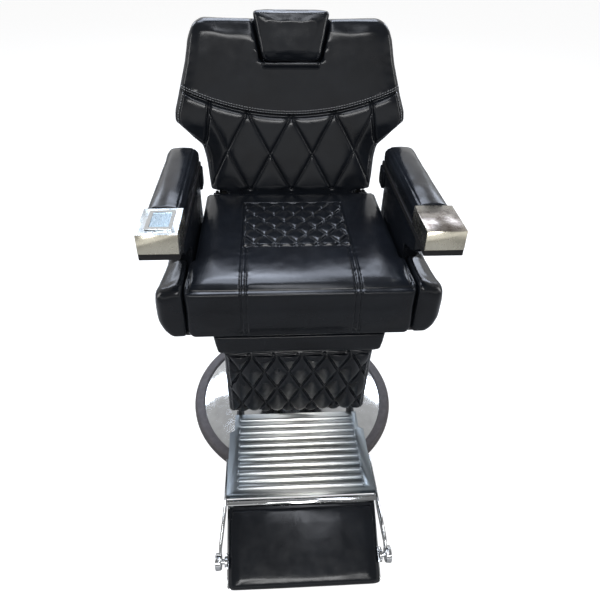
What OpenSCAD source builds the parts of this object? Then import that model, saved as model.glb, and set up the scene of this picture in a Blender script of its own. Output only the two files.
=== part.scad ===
// Hydraulic barber chair: a disc base with a foot pump, a lifting and swivelling seat,
// padded arms with chrome caps, a reclining back with a sliding headrest, and a
// swing-up leg rest that ends in a fold-over footrest.
// Millimetres, +Z up. The origin is on the floor under the pump column. The chair
// faces -Y. "right" and "left" are the sitter's, so right is -X.

/* [Base] */
// Diameter over the rubber rim
base_d = 610; // [560:5:680]
// Radial width of the rubber rim
rim_w = 30; // [22:1:40]
// Height of the rubber rim
rim_h = 22; // [18:1:28]
// Height of the domed cover at the column
dome_h = 68; // [60:1:72]
// Outer diameter of the chrome column cover
column_d = 150; // [140:1:156]

/* [Pump] */
// Diameter of the lifting ram
ram_d = 56; // [40:1:60]
// Lift of the pump
lift = 150; // [100:5:170]
// Reach of the pump pedal from the column axis
pedal_reach = 420; // [380:5:425]

/* [Seat] */
// Width of the cushion between its side seams
seat_w = 500; // [470:5:540]
// Height of the underside of the cushion
seat_bottom = 515; // [500:5:540]
// Thickness of the cushion at its front edge
seat_t = 135; // [110:5:150]
// Rise of the seat towards its front edge, in degrees
seat_rise = 4.9; // [3:0.1:6]
// Width of the quilted square
quilt_w = 254; // [200:1:280]
// Quilt lines sink this far into the cushion
quilt_depth = 7; // [3:0.5:9]

/* [Arms] */
// How far the arms reach out past the seams of the seat
arm_reach = 69; // [60:1:80]
// Width of one arm
arm_w = 80; // [70:1:88]
// Height of the top of the arm at its front end
arm_h = 790; // [770:5:820]
// Length of one arm
arm_l = 466; // [440:2:480]
// Length of the chrome cap
cap_l = 112; // [100:1:125]

/* [Back] */
// Height of the back, along its slope
back_h = 442; // [420:2:480]
// Backward lean of the back at rest, in degrees
back_lean = 14; // [10:0.5:18]
// Half width of the back at its widest
wing_w = 318; // [300:1:325]
// Thickness of the back with its rear cover
back_t = 90; // [84:1:96]
// Width of the headrest at its top
head_w = 190; // [170:2:200]

/* [Leg rest] */
// Width of the calf pad
calf_w = 366; // [340:2:370]
// Height of the calf pad
calf_h = 248; // [220:2:256]
// Width of the foot plate
plate_w = 360; // [340:2:364]
// Number of ribs on the foot plate
rib_count = 11; // [8:1:11]
// Length of the fold-over pad
flip_l = 181; // [160:1:190]

/* [Hidden] */

// Round parts that fit each other
$fn = 64;
// Radial clearance of a running fit
fit = 0.05;
// Gap between pieces that only lie against each other
seat_gap = 0.3;
// Half of the seat's width, and the middle of an arm
seat_half = seat_w / 2;
arm_x = seat_half + arm_reach - arm_w / 2;

// Base
base_r = base_d / 2;
plate_r = base_r - rim_w / 2 - 5;
plate_t = 10;
dome_t = 2;
dome_edge_r = base_r - rim_w - 1;
column_r = column_d / 2;
column_wall = 3;
column_top = 326;
flange_r = 97;
flange_t = 12;
bolt_circle = column_r + 10.5;
bolt_count = 6;
cylinder_r = 40;
cylinder_top = 318;
gland_t = 12;

// Pump pedal
pedal_pin_y = 54;
pedal_pin_z = 88;
pedal_pin_r = 6;
pedal_rest = 2;
lever_t = 18;
lever_h = 16;
lug_t = 6;
pad_len = 52;
pad_w = 60;

// Ram and swivel
ram_r = ram_d / 2;
ram_top = 415;
ram_len = lift + 205;
hub_r = 80;
hub_t = 10;
washer_t = 4;
spigot_r = 20;
swivel_z = ram_top + hub_t + washer_t;
swivel_t = 12;
swivel_r = 95;
frame_z = 465;
frame_t = seat_bottom - 10 - frame_z;
rail_x = 165;
rail_w = 26;
frame_front = -232;
frame_rear = 232;
board_t = 10;
board_z = seat_bottom - board_t;

// Seat cushion: its rear edge, front edge, and where it narrows between the arm panels
seat_rear = 228;
seat_front = -258;
panel_front = -126;
panel_in = seat_half - 10;
panel_t = 35;
panel_out = panel_in + panel_t;
quilt_rear = 150;
quilt_front = -82;
quilt_a = quilt_w / 12;
quilt_b = (quilt_rear - quilt_front) / 10;
seat_edge_r = 26;
bolster_rear = 140;
bolster_out = seat_half + 63;

// Skirt under the front of the seat
skirt_bottom = 452;
skirt_top_x = 198;
skirt_bottom_x = 190;
skirt_front = -250;
skirt_t = 13;
skirt_r = 14;

// Arms
arm_front = -267;
arm_drop = 3.6;
pad_t = 43;
arm_board_t = 12;
cap_wall = 2;
arm_r = 14;
block_z = 655;
block_front = 150;
block_rear = 199;

// Ashtray in the right cap
tray_x = 2;
tray_in_w = 38;
tray_in_l = 62;
tray_y = 26;
tray_depth = 28;
tray_wall = 1.5;
bezel_w = 8;
bezel_h = 3.5;
lid_t = 2;
lid_pin_r = 1.2;
lid_barrel_r = 2.4;
lid_pin_y = tray_y + tray_in_l - lid_barrel_r - 0.6;
lid_pin_z = 0.6;

// Back: the lower front edge of the cushion, the hinge, and the layers behind it
back_y = 239;
back_z = 605;
back_cushion_t = 58;
back_board_y = back_cushion_t + seat_gap;
back_board_t = 16.4;
back_cover_y = back_board_y + back_board_t + seat_gap;
back_foot_half = 204.5;
back_foot = 42;
seam_mid = 203;
seam_end = 268;
back_quilt_a = 57.5;
back_quilt_b = 100;
// The quilted panel ends here on either side, and the wings beyond it are plain
panel_half = 205;
hinge_y = 262;
hinge_z = 575;
hinge_r = 8;
hinge_boss = 19;
hinge_x = 206;
hinge_t = 8;
bracket_x = 196;
// Narrower lip of the cushion that reaches down behind the seat, between the brackets
lip_h = 28;
lip_step = 1.5;
lip_half = bracket_x - 8;

// Headrest
head_base_w = 144;
head_bottom = back_h - 98;
head_top = back_h + 10;
head_recess = 32;
head_proud = 22;
post_x = 45;
post_r = 5;
post_y = back_board_y + back_board_t / 2;
guide_r = 8;
guide_len = 230;
post_len = 235;
carrier_z = back_h + 1;
carrier_t = 4;

// Recline lever on the frame's left side: its pivot, and where the grip starts
release_y = 100;
release_z = 484;
release_r = 8;
release_x = 216;
release_drop = 29;
release_l = 100;
grip_l = 84;

// Leg rest, hung from two lugs behind the skirt
leg_y = -232;
leg_z = 437;
leg_lean = 4.4;
calf_t = 28;
calf_board_t = 10;
leg_pin_y = 10.66;
leg_pin_z = 10;
leg_pin_r = 6;
leg_eye_r = 9;
leg_bar_x = plate_w / 2 - 30;
leg_bar_t = 8;
leg_lug_t = 6;
calf_quilt_a = 30;
calf_quilt_b = 62;
calf_quilt_top = 7;
plate_front_y = -430;
plate_front_z = 158;
plate_slope = 5.05;
plate_l = 260;
plate_t2 = 2.5;
plate_lip = 14;
plate_notch_y = 196;
plate_notch_w = 12;
rib_pitch = 22;
rib_first = 18;
rib_r = 6;
rib_half = plate_w / 2 - 30;
side_arm_t = 4.5;
side_eye_r = 17;

// Fold-over footrest, in a frame that starts at its lower front edge
flip_y = -614;
flip_z = 65;
flip_slope = 28.8;
flip_t = 26;
// The footrest is this much narrower than the plate that it folds over
flip_margin = 4;
flip_w = plate_w - flip_margin;
tray_t = 8;
strip_w = 15;
flip_pin_y = 62.8;
flip_pin_z = -9;
flip_pin_r = 6;
flip_arm_x = flip_w / 2 + 12;
knob_r = 19;
knob_t = 8;
cheek_in = flip_w / 2 - 2;
cheek_t = 6;

black = "#1c1d20";
steel = "#8d9094";
chrome = "#d9dbdd";

// ---------- helpers ----------

// Points of an arc in a plane
function arc(cx, cy, r, a0, a1, n) =
    [for (i = [0 : n]) let (a = a0 + (a1 - a0) * i / n) [cx + r * cos(a), cy + r * sin(a)]];

// A body through closed rings of [x, y, z, relief] points, whose facets fold along the valleys
module loft(rings) {
    n = len(rings[0]);
    m = len(rings);
    pts = [for (ring = rings, p = ring) [p[0], p[1], p[2]]];
    depth = [for (ring = rings, p = ring) p[3]];
    sides = [for (i = [0 : m - 2], j = [0 : n - 1])
        let (a = i * n + j, b = i * n + (j + 1) % n, c = (i + 1) * n + (j + 1) % n, d = (i + 1) * n + j)
        each (depth[a] + depth[c] <= depth[b] + depth[d]) ? [[a, b, c], [a, c, d]] : [[a, b, d], [b, c, d]]];
    start = [for (j = [n - 1 : -1 : 0]) j];
    end = [for (j = [0 : n - 1]) (m - 1) * n + j];
    polyhedron(pts, concat(sides, [start, end]), convexity = 8);
}

// Height of a sewn diamond: 0 on the seams, 1 in the middle; a and b are half its width and height
function tuft(x, y, a, b) = pow(abs(sin(90 * (x / a + y / b)) * sin(90 * (x / a - y / b))), 0.6);

// Evenly spaced values, both ends included
function steps(from, to, n) = [for (i = [0 : n]) from + (to - from) * i / n];

// Drop of a rounded edge of radius r at a distance d from the edge
function edge_drop(d, r) = d >= r ? 0 : r - sqrt(max(0, r * r - (r - d) * (r - d)));

module mirrored() {
    children();
    mirror([1, 0, 0]) children();
}

// A plate in the YZ plane, from x to x + t
module side_plate(x, t) {
    translate([x, 0, 0]) rotate([90, 0, 90]) linear_extrude(t) children();
}

// A rod along X
module rod_x(x0, x1, y, z, r) {
    translate([x0, y, z]) rotate([0, 90, 0]) cylinder(r = r, h = x1 - x0);
}

module rounded_rect(x0, x1, y0, y1, r) {
    polygon(concat(
        arc(x1 - r, y1 - r, r, 0, 90, 6), arc(x0 + r, y1 - r, r, 90, 180, 6),
        arc(x0 + r, y0 + r, r, 180, 270, 6), arc(x1 - r, y0 + r, r, 270, 360, 6)));
}

// ---------- base and pump ----------

module base_plate() {
    color("dimgray") difference() {
        cylinder(r = plate_r, h = plate_t, $fn = 96);
        for (i = [0 : bolt_count - 1]) rotate(i * 360 / bolt_count) translate([bolt_circle, 0, -1])
            cylinder(r = 5 + fit, h = plate_t + 2);
    }
}

module base_rim() {
    inner = base_r - rim_w;
    color("#4a4648") rotate_extrude($fn = 96) polygon(concat(
        [[plate_r + seat_gap, 0]],
        arc(base_r - 3, 3, 3, 270, 360, 3),
        arc(base_r - 10, rim_h - 10, 10, 0, 90, 5),
        arc(inner + 4, rim_h - 4, 4, 90, 180, 3),
        [[inner, plate_t + seat_gap], [plate_r + seat_gap, plate_t + seat_gap]]));
}

// Height of the dome at a radius, falling in a soft S from the column to the rim
function dome_z(r) =
    let (s = (r - column_r) / (dome_edge_r - column_r))
    plate_t + 6 + (dome_h - plate_t - 6) * (1 - s) * (1 - 0.25 * s * sin(180 * s));

module base_dome() {
    radii = steps(column_r + 0.6, dome_edge_r, 14);
    last = len(radii) - 1;
    color(chrome) rotate_extrude($fn = 96) polygon(concat(
        [for (i = [0 : last]) [radii[i], dome_z(radii[i])]],
        [[dome_edge_r, plate_t], [dome_edge_r - dome_t, plate_t]],
        [for (i = [last : -1 : 0]) [radii[i] - (i == last ? dome_t : 0), dome_z(radii[i]) - dome_t]]));
}

module pump_cylinder() {
    color(steel) difference() {
        union() {
            translate([0, 0, plate_t]) cylinder(r = flange_r, h = flange_t);
            translate([0, 0, plate_t]) cylinder(r = cylinder_r, h = cylinder_top - plate_t);
            for (side = [-1, 1]) translate([side * (lever_t / 2 + 1 + lug_t / 2), 0, 0])
                side_plate(-lug_t / 2, lug_t) union() {
                    translate([pedal_pin_y, pedal_pin_z]) circle(r = 12);
                    translate([30, plate_t + flange_t]) square([pedal_pin_y - 18, pedal_pin_z - plate_t - flange_t]);
                }
        }
        translate([0, 0, plate_t + 18]) cylinder(r = ram_r + fit, h = cylinder_top);
        rod_x(-30, 30, pedal_pin_y, pedal_pin_z, pedal_pin_r + fit);
        for (i = [0 : bolt_count - 1]) rotate(i * 360 / bolt_count) translate([bolt_circle, 0, 0])
            cylinder(r = 5 + fit, h = plate_t + flange_t + 1);
    }
}

module pump_bolts() {
    color(steel) for (i = [0 : bolt_count - 1]) rotate(i * 360 / bolt_count) translate([bolt_circle, 0, 0]) {
        translate([0, 0, 1]) cylinder(r = 5, h = plate_t + flange_t);
        translate([0, 0, plate_t + flange_t]) cylinder(r = 8.5, h = 7, $fn = 6);
    }
}

module cylinder_gland() {
    color("#2b2b2d") translate([0, 0, cylinder_top]) difference() {
        cylinder(r = cylinder_r + 5, h = gland_t);
        translate([0, 0, -1]) cylinder(r = ram_r + fit, h = gland_t + 2);
    }
}

// Chrome sleeve round the pump, closed at the top by a lip, with a slot for the pedal lever
module column_cover() {
    slot_low = 58;
    slot_high = 104;
    color(chrome) difference() {
        rotate_extrude() polygon(concat(
            [[column_r - column_wall, plate_t + flange_t], [column_r, plate_t + flange_t]],
            arc(column_r - 8, column_top - 8, 8, 0, 90, 5),
            [[cylinder_r + 7, column_top], [cylinder_r + 7, column_top - column_wall],
             [column_r - column_wall - 4, column_top - column_wall], [column_r - column_wall, column_top - 8]]));
        translate([-lever_t / 2 - 3, 30, slot_low]) cube([lever_t + 6, 60, slot_high - slot_low]);
    }
}

module pedal_pin() {
    half = lever_t / 2 + 1 + lug_t + 2;
    color(steel) rod_x(-half, half, pedal_pin_y, pedal_pin_z, pedal_pin_r);
}

// The pedal's own frame starts at its pin and runs out along +Y
module pedal_place() {
    translate([0, pedal_pin_y, pedal_pin_z]) rotate([pedal_rest, 0, 0]) children();
}

module pedal_lever() {
    reach = pedal_reach - pedal_pin_y - 4;
    color(chrome) pedal_place() difference() {
        side_plate(-lever_t / 2, lever_t) union() {
            circle(r = 12);
            translate([0, -lever_h / 2]) square([reach - lever_h / 2, lever_h]);
            translate([reach - lever_h / 2, 0]) circle(r = lever_h / 2);
        }
        rod_x(-20, 20, 0, 0, pedal_pin_r + fit);
    }
}

// Rubber shoe on the end of the lever, with grip ridges across its top
module pedal_pad() {
    end = pedal_reach - pedal_pin_y;
    start = end - pad_len;
    color("#202022") pedal_place() difference() {
        union() {
            translate([-pad_w / 2, start, -lever_h / 2 - 3]) cube([pad_w, pad_len, lever_h + 4]);
            for (i = [0 : 4]) translate([-pad_w / 2 + 3, start + 5 + i * 10, lever_h / 2 + 1])
                cube([pad_w - 6, 4, 1.5]);
        }
        translate([-lever_t / 2, start - 1, -lever_h / 2]) cube([lever_t, pad_len - 3, lever_h]);
    }
}

module pump_ram() {
    color(chrome) translate([0, 0, ram_top - ram_len]) cylinder(r = ram_r, h = ram_len);
}

module ram_hub() {
    color(steel) union() {
        translate([0, 0, ram_top]) cylinder(r = hub_r, h = hub_t);
        translate([0, 0, ram_top + hub_t]) cylinder(r = spigot_r, h = washer_t + swivel_t + 10);
    }
}

module thrust_washer() {
    color("#c9a45a") translate([0, 0, ram_top + hub_t]) difference() {
        cylinder(r = hub_r - 8, h = washer_t);
        translate([0, 0, -1]) cylinder(r = spigot_r + fit, h = washer_t + 2);
    }
}

module swivel_nut() {
    color(steel) translate([0, 0, swivel_z + swivel_t + seat_gap]) difference() {
        cylinder(r = 32, h = 9, $fn = 6);
        translate([0, 0, -1]) cylinder(r = spigot_r + fit, h = 12);
    }
}

// ---------- seat ----------

module swivel_plate() {
    color(steel) translate([0, 0, swivel_z]) difference() {
        cylinder(r = swivel_r, h = swivel_t);
        translate([0, 0, -1]) cylinder(r = spigot_r + fit, h = swivel_t + 2);
    }
}

// Welded steel frame: two rails, three cross bars and two channels down to the swivel plate
module seat_frame() {
    lug_x = leg_bar_x + leg_bar_t + 1;
    channel_z = swivel_z + swivel_t;
    color("#3a3b3e") difference() {
        union() {
            for (side = [-1, 1]) translate([side * rail_x - rail_w / 2, frame_front, frame_z])
                cube([rail_w, frame_rear - frame_front, frame_t]);
            for (y = [frame_front, -15, frame_rear - 30]) translate([-rail_x, y, frame_z])
                cube([2 * rail_x, 30, frame_t]);
            for (side = [-1, 1]) translate([side * 65 - 20, -100, channel_z]) cube([40, 200, frame_z - channel_z + 6]);
            translate([-120, -100, frame_z]) cube([240, 200, 6]);
            mirrored() side_plate(lug_x, leg_lug_t) union() {
                translate(leg_pin_world()) circle(r = leg_eye_r);
                polygon([leg_pin_world() + [-7, 5], leg_pin_world() + [7, -5], [-206, frame_z + 5], [frame_front, frame_z + 5]]);
            }
            rod_x(rail_x, rail_x + 30, release_y, release_z, 14);
        }
        mirrored() rod_x(lug_x - 5, lug_x + leg_lug_t + 5, leg_pin_world()[0], leg_pin_world()[1], leg_pin_r + fit);
        rod_x(rail_x + 5, rail_x + 40, release_y, release_z, release_r + fit);
    }
}

// The leg rest's hinge in the chair's own Y and Z
function leg_pin_world() = [
    leg_y + leg_pin_y * cos(leg_lean) - leg_pin_z * sin(leg_lean),
    leg_z + leg_pin_y * sin(leg_lean) + leg_pin_z * cos(leg_lean)];

module seat_board() {
    color("#b08a5a") translate([0, 0, board_z]) linear_extrude(board_t) union() {
        translate([-seat_half + 15, seat_front + 20]) square([seat_w - 30, seat_rear - seat_front - 24]);
        rounded_rect(-bolster_out + 16, bolster_out - 16, seat_front + 20, bolster_rear - 4, 20);
    }
}

// Half width of the cushion: full at the front, drawn in between the arm panels
function seat_half_at(y) = y < panel_front - 6 ? seat_half - edge_drop(y - seat_front, 6) : panel_in - 1.5;

// Height of the top of the cushion along its middle
function seat_top_at(y) = seat_bottom + seat_t - (y - seat_front) * tan(seat_rise) - edge_drop(y - seat_front, seat_edge_r);

// Signed distance into the quilted square
function in_quilt(x, y) = min(quilt_w / 2 - abs(x), y - quilt_front, quilt_rear - y);

// The square's border is sewn down all round, and the cushion is plain outside it
function seat_relief(x, y) =
    let (d = in_quilt(x, y))
    d < -1 ? 0 : d < 1 ? -quilt_depth * 0.7 : quilt_depth * (tuft(x, y - quilt_front, quilt_a, quilt_b) - 1);

function seat_ring(y) =
    let (half = seat_half_at(y), top = seat_top_at(y), low = seat_bottom + seat_gap, side_z = top - 14)
    let (inner = steps(-quilt_w / 2, quilt_w / 2, 24))
    let (outer = [for (k = [1, 0.93, 0.75, 0.4, 0.07]) quilt_w / 2 + (half - 1 - quilt_w / 2) * k])
    let (xs = concat([for (x = outer) -x], inner, [for (k = [4 : -1 : 0]) outer[k]]))
    concat(
        [[-half + 8, y, low, 0], [-half, y, low + 12, 0], [-half, y, side_z - 4, 0]],
        [for (x = xs) let (e = edge_drop(half - abs(x), 9), r = seat_relief(x, y))
            [x, y, top - e + r, r - e]],
        [[half, y, side_z - 4, 0], [half, y, low + 12, 0], [half - 8, y, low, 0]]);

module seat_cushion() {
    front = [seat_front, seat_front + 2, seat_front + 6, seat_front + 13, seat_front + 26, -200, -160, -136, -129, quilt_front - 8];
    rear = [quilt_rear + 8, 200, seat_rear];
    color(black) loft([for (y = concat(front, steps(quilt_front, quilt_rear, 20), rear)) seat_ring(y)]);
}

// Outer edge of the side bolster at a depth
function bolster_x(y) = bolster_out - lookup(y, [
    [-258, 17], [-252, 9], [-244, 4], [-228, 0], [-190, 6], [-130, 11], [0, 14], [120, 16], [140, 23]]);

function bolster_ring(y) =
    let (inner = y < panel_front - 4 ? seat_half + 0.5 : panel_out + 0.5, outer = bolster_x(y))
    let (drop = edge_drop(y - seat_front, 20) + edge_drop(bolster_rear - y, 20), low = seat_bottom + seat_gap)
    let (top = seat_bottom + seat_t - 3 - drop - (y - seat_front) * tan(seat_rise) * 0.35)
    [[inner, y, low, 0], [inner, y, top - 5, 0], [inner + 2, y, top - 1, 0],
     [inner + (outer - inner) * 0.4, y, top - 3, 0], [outer - 10, y, top - 12, 0], [outer - 2, y, top - 24, 0],
     [outer, y, top - 45, 0], [outer, y, low + 38, 0], [outer - 7, y, low + 16, 0], [outer - 20, y, low, 0]];

module bolster() {
    depths = [-258, -254, -248, -238, -222, -200, -170, -134, -128, -60, 20, 90, 120, 132, 138, 140];
    color(black) loft([for (y = depths) bolster_ring(y)]);
}

module bolster_left() {
    bolster();
}

module bolster_right() {
    mirror([1, 0, 0]) bolster();
}

// Padded box below the front of the seat, open at the rear
module seat_skirt() {
    height = board_z - skirt_bottom;
    depth = 300;
    color(black) intersection() {
        translate([0, skirt_front, skirt_bottom]) linear_extrude(height) difference() {
            rounded_rect(-skirt_top_x, skirt_top_x, 0, depth + skirt_r, skirt_r);
            translate([-skirt_bottom_x + skirt_t / 2, skirt_t]) square([2 * skirt_bottom_x - skirt_t, depth + 20]);
            translate([-skirt_top_x, depth]) square([2 * skirt_top_x, 20]);
        }
        translate([0, skirt_front + depth + 1, 0]) rotate([90, 0, 0]) linear_extrude(depth + 2) polygon(concat(
            [[skirt_top_x, board_z]], [[-skirt_top_x, board_z]],
            arc(-skirt_bottom_x + 12, skirt_bottom + 12, 12, 187, 270, 5),
            arc(skirt_bottom_x - 12, skirt_bottom + 12, 12, 270, 353, 5)));
    }
}

// ---------- arms ----------

// The arm's own frame: its front end, middle and top, with +Y running back along the arm
module arm_place(side) {
    translate([side * arm_x, arm_front, arm_h]) rotate([-arm_drop, 0, 0]) children();
}

// Height of the underside of the arm board at a depth
function arm_under(y) = arm_h - (y - arm_front) * tan(arm_drop) - (pad_t + arm_board_t) / cos(arm_drop);

// Thin cushion that fills the side between the seat and the arm
module arm_panel(side) {
    rear = block_front - 1;
    low = seat_bottom + seat_gap;
    nose = arm_under(-200) - seat_gap;
    tail = arm_under(rear) - seat_gap;
    outline = concat(
        arc(panel_front + 8, low + 8, 8, 180, 270, 3), arc(rear - 10, low + 10, 10, 270, 360, 3),
        [[rear, tail], [-200, nose]], arc(-186, nose - 26, 14, 170, 235, 4), [[panel_front, low + seat_t + 14]]);
    color(black) mirror([side < 0 ? 1 : 0, 0, 0]) side_plate(panel_in, panel_t) polygon(outline);
}

module arm_panel_right() {
    arm_panel(-1);
}

module arm_panel_left() {
    arm_panel(1);
}

// Bent chrome strap from the seat frame up to the block behind the arm
module arm_bracket(side) {
    strap_t = 8;
    x = seat_half + 1;
    low = 478;
    bend = 16;
    profile = concat(
        [[rail_x + rail_w / 2, low], [rail_x + rail_w / 2, low - strap_t]],
        arc(x + strap_t - bend, low - strap_t + bend, bend, 270, 360, 6),
        [[x + strap_t, block_z], [x, block_z]],
        arc(x - bend + strap_t, low + bend - strap_t, bend - strap_t, 360, 270, 6));
    color(chrome) mirror([side < 0 ? 1 : 0, 0, 0]) translate([0, block_front + 36, 0]) rotate([90, 0, 0])
        linear_extrude(30) polygon(profile);
}

module arm_bracket_right() {
    arm_bracket(-1);
}

module arm_bracket_left() {
    arm_bracket(1);
}

module arm_board(side) {
    color("#222225") arm_place(side) translate([0, 0, -pad_t - arm_board_t]) linear_extrude(arm_board_t)
        rounded_rect(-arm_w / 2, arm_w / 2, 0, arm_l, 3);
}

module arm_board_right() {
    arm_board(-1);
}

module arm_board_left() {
    arm_board(1);
}

// Crowned pad behind the cap, with rounded shoulders and a rounded rear end
module arm_pad(side) {
    first = cap_l + 0.5;
    low = -pad_t + seat_gap;
    depths = [first, first + 4, first + 40, 230, 340, 410, 436, 452, 461, arm_l];
    rings = [for (y = depths)
        let (back = edge_drop(arm_l - y, 26), half = arm_w / 2 - edge_drop(arm_l - y, 12), top = 1.5 - back * 0.8)
        [for (p = concat(
            [[-half, low], [-half, top - arm_r]], arc(-half + arm_r, top - arm_r, arm_r, 157.5, 90, 3),
            [[0, top + 1.5]],
            arc(half - arm_r, top - arm_r, arm_r, 90, 22.5, 3), [[half, top - arm_r], [half, low]]))
            [p[0], y, p[1], 0]]];
    color(black) arm_place(side) loft(rings);
}

module arm_pad_right() {
    arm_pad(-1);
}

module arm_pad_left() {
    arm_pad(1);
}

// Upholstered block that carries the rear end of the arm on its bracket
module arm_block(side) {
    x0 = panel_in - 5;
    x1 = arm_x + arm_w / 2 - 16;
    color(black) mirror([side < 0 ? 1 : 0, 0, 0]) side_plate(x0, x1 - x0) polygon(concat(
        arc(block_rear - 12, block_z + 12, 12, 270, 360, 4),
        [[block_rear, arm_under(block_rear) - seat_gap], [block_front, arm_under(block_front) - seat_gap]],
        arc(block_front + 8, block_z + 8, 8, 180, 270, 3)));
}

module arm_block_right() {
    arm_block(-1);
}

module arm_block_left() {
    arm_block(1);
}

module cap_shell() {
    half = arm_w / 2;
    difference() {
        translate([-half, 0, -pad_t + seat_gap]) cube([arm_w, cap_l, pad_t - seat_gap]);
        translate([-half + cap_wall, cap_wall, -pad_t]) cube([arm_w - 2 * cap_wall, cap_l, pad_t - cap_wall]);
    }
}

// Plain chrome cap over the nose of the left arm
module arm_cap_left() {
    color(chrome) arm_place(1) cap_shell();
}

// Chrome cap of the right arm, with a window for the ashtray
module arm_cap_right() {
    wide = tray_in_w + 2 * tray_wall + 0.6;
    long = tray_in_l + 2 * tray_wall + 0.6;
    color(chrome) arm_place(-1) difference() {
        cap_shell();
        translate([tray_x - wide / 2, tray_y - tray_wall - 0.3, -10]) cube([wide, long, 20]);
    }
}

// Pressed cup with a raised rim that lies on the cap, and two ears for the lid's pin
module ashtray_cup() {
    half = tray_in_w / 2;
    color(chrome) arm_place(-1) translate([tray_x, tray_y, 0]) difference() {
        union() {
            translate([-half - tray_wall, -tray_wall, -tray_depth])
                cube([tray_in_w + 2 * tray_wall, tray_in_l + 2 * tray_wall, tray_depth]);
            linear_extrude(bezel_h) rounded_rect(-half - bezel_w, half + bezel_w, -bezel_w, tray_in_l + bezel_w, 3);
        }
        translate([-half, 0, -tray_depth + tray_wall]) cube([tray_in_w, tray_in_l, tray_depth + bezel_h]);
        rod_x(-half - 4, half + 4, lid_pin_y - tray_y, lid_pin_z, lid_pin_r + fit);
    }
}

module ashtray_pin() {
    half = tray_in_w / 2 + tray_wall - 0.1;
    color(steel) arm_place(-1) translate([tray_x, 0, 0]) rod_x(-half, half, lid_pin_y, lid_pin_z, lid_pin_r);
}

// Lid that lies just inside the rim and lifts on a barrel at its rear edge
module ashtray_lid() {
    half = tray_in_w / 2 - 0.5;
    front = tray_y + 0.6;
    color(chrome) arm_place(-1) translate([tray_x, 0, 0]) difference() {
        union() {
            translate([-half, front, lid_pin_z]) cube([2 * half, lid_pin_y - front, lid_t]);
            rod_x(-half, half, lid_pin_y, lid_pin_z, lid_barrel_r);
            translate([-6, front + 5, lid_pin_z + lid_t - 0.5]) cube([12, 2, 1.3]);
        }
        rod_x(-half - 1, half + 1, lid_pin_y, lid_pin_z, lid_pin_r + fit);
    }
}

// ---------- back ----------

// The back's own frame: its lower front edge, with +Z up along the cushion and +Y into it
module back_place() {
    translate([0, back_y, back_z]) rotate([-back_lean, 0, 0]) children();
}

// The hinge in the back's own frame
function hinge_local() =
    let (dy = hinge_y - back_y, dz = hinge_z - back_z)
    [dy * cos(back_lean) - dz * sin(back_lean), dy * sin(back_lean) + dz * cos(back_lean)];

// Steel upright on the seat frame that carries one of the back's hinge pins
module back_hinge(side) {
    foot_x = rail_x + rail_w / 2;
    color("#3a3b3e") mirror([side < 0 ? 1 : 0, 0, 0]) difference() {
        union() {
            side_plate(hinge_x, hinge_t) union() {
                translate([hinge_y, hinge_z]) circle(r = hinge_boss);
                polygon([[196, frame_z + 5], [frame_rear, frame_z + 5], [hinge_y + 18, hinge_z - 6],
                    [hinge_y - 18, hinge_z + 4], [seat_rear + 4, seat_bottom + 2], [seat_rear - 3, board_z - 0.5],
                    [196, board_z - 0.5]]);
            }
            translate([foot_x, 196, frame_z + 5]) cube([hinge_x - foot_x, 30, 8]);
        }
        rod_x(hinge_x - 20, hinge_x + 20, hinge_y, hinge_z, hinge_r + fit);
    }
}

module back_hinge_right() {
    back_hinge(-1);
}

module back_hinge_left() {
    back_hinge(1);
}

module back_pins() {
    color(steel) mirrored() {
        rod_x(bracket_x - 4, hinge_x + hinge_t + 2, hinge_y, hinge_z, hinge_r);
        rod_x(hinge_x + hinge_t + seat_gap, hinge_x + hinge_t + 6, hinge_y, hinge_z, hinge_r + 5);
    }
}

// Half width of the back along its height: narrow between the arms, then wings, then shoulders
function back_half(z) = lookup(z, [
    [-lip_h, lip_half], [-lip_step, lip_half], [0, 232], [40, 236], [100, 240], [125, 246], [142, 268], [160, 292],
    [176, 312], [188, wing_w], [206, wing_w], [283, wing_w - 24], [back_h - 107, wing_w - 39],
    [back_h - 50, wing_w - 50], [back_h - 24, wing_w - 60], [back_h - 12, wing_w - 70], [back_h - 4, wing_w - 84],
    [back_h, wing_w - 94]]);

// The curved seam over the quilted lower half
function seam_z(x) = seam_mid + (seam_end - seam_mid) * pow(abs(x) / 290, 2);

function head_half(z) = head_base_w / 2 + 5 + (head_w - head_base_w) / 2 * max(0, z - head_bottom) / (head_top - head_bottom);

// How far the front of the cushion lies behind the back's front plane; v is the height in quilt units
function back_dent(x, z, v) =
    let (side = back_half(z) - abs(x))
    let (d = edge_drop(side, 20) + edge_drop(back_h - z, 22) + edge_drop(z + lip_h, 10))
    let (puff = abs(x) < panel_half ? tuft(x, v * back_quilt_b, back_quilt_a, back_quilt_b) : 1)
    let (quilt = v < 2 ? 5 * (1 - puff) : v <= 2.01 ? 7 : 0)
    d + quilt - 3;

function in_head(x, z) = z > head_bottom - 7 && abs(x) < head_half(z) + 0.1;

function back_front(x, z, v) = in_head(x, z) ? max(head_recess, back_dent(x, z, v)) : back_dent(x, z, v);

// Height of a row at the cushion's edge; the lower rows meet the corners of the wings
function back_edge_z(v, above) = v < 0 ? v * back_quilt_b : above > 0 ? above + (seam_end - seam_mid) * row_fade(above)
    : lookup(v, [[0, 0], [1, 122], [1.25, 144], [1.5, 188], [1.75, 216], [2, seam_end]]);

// Rows straighten out above the seam
function row_fade(above) = max(0, 1 - (above - seam_mid) / 110);

// Height of a row at a place across the back; rows up to v = 2 bend with the seam
function row_z(v, above, x, half) =
    let (flat = 215, xi = min(abs(x), flat))
    let (z = v < 0 ? v * back_quilt_b : above > 0 ? above + (seam_z(xi) - seam_mid) * row_fade(above) : v / 2 * seam_z(xi))
    z + (back_edge_z(v, above) - z) * max(0, abs(x) - flat) / (half - flat);

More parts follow.
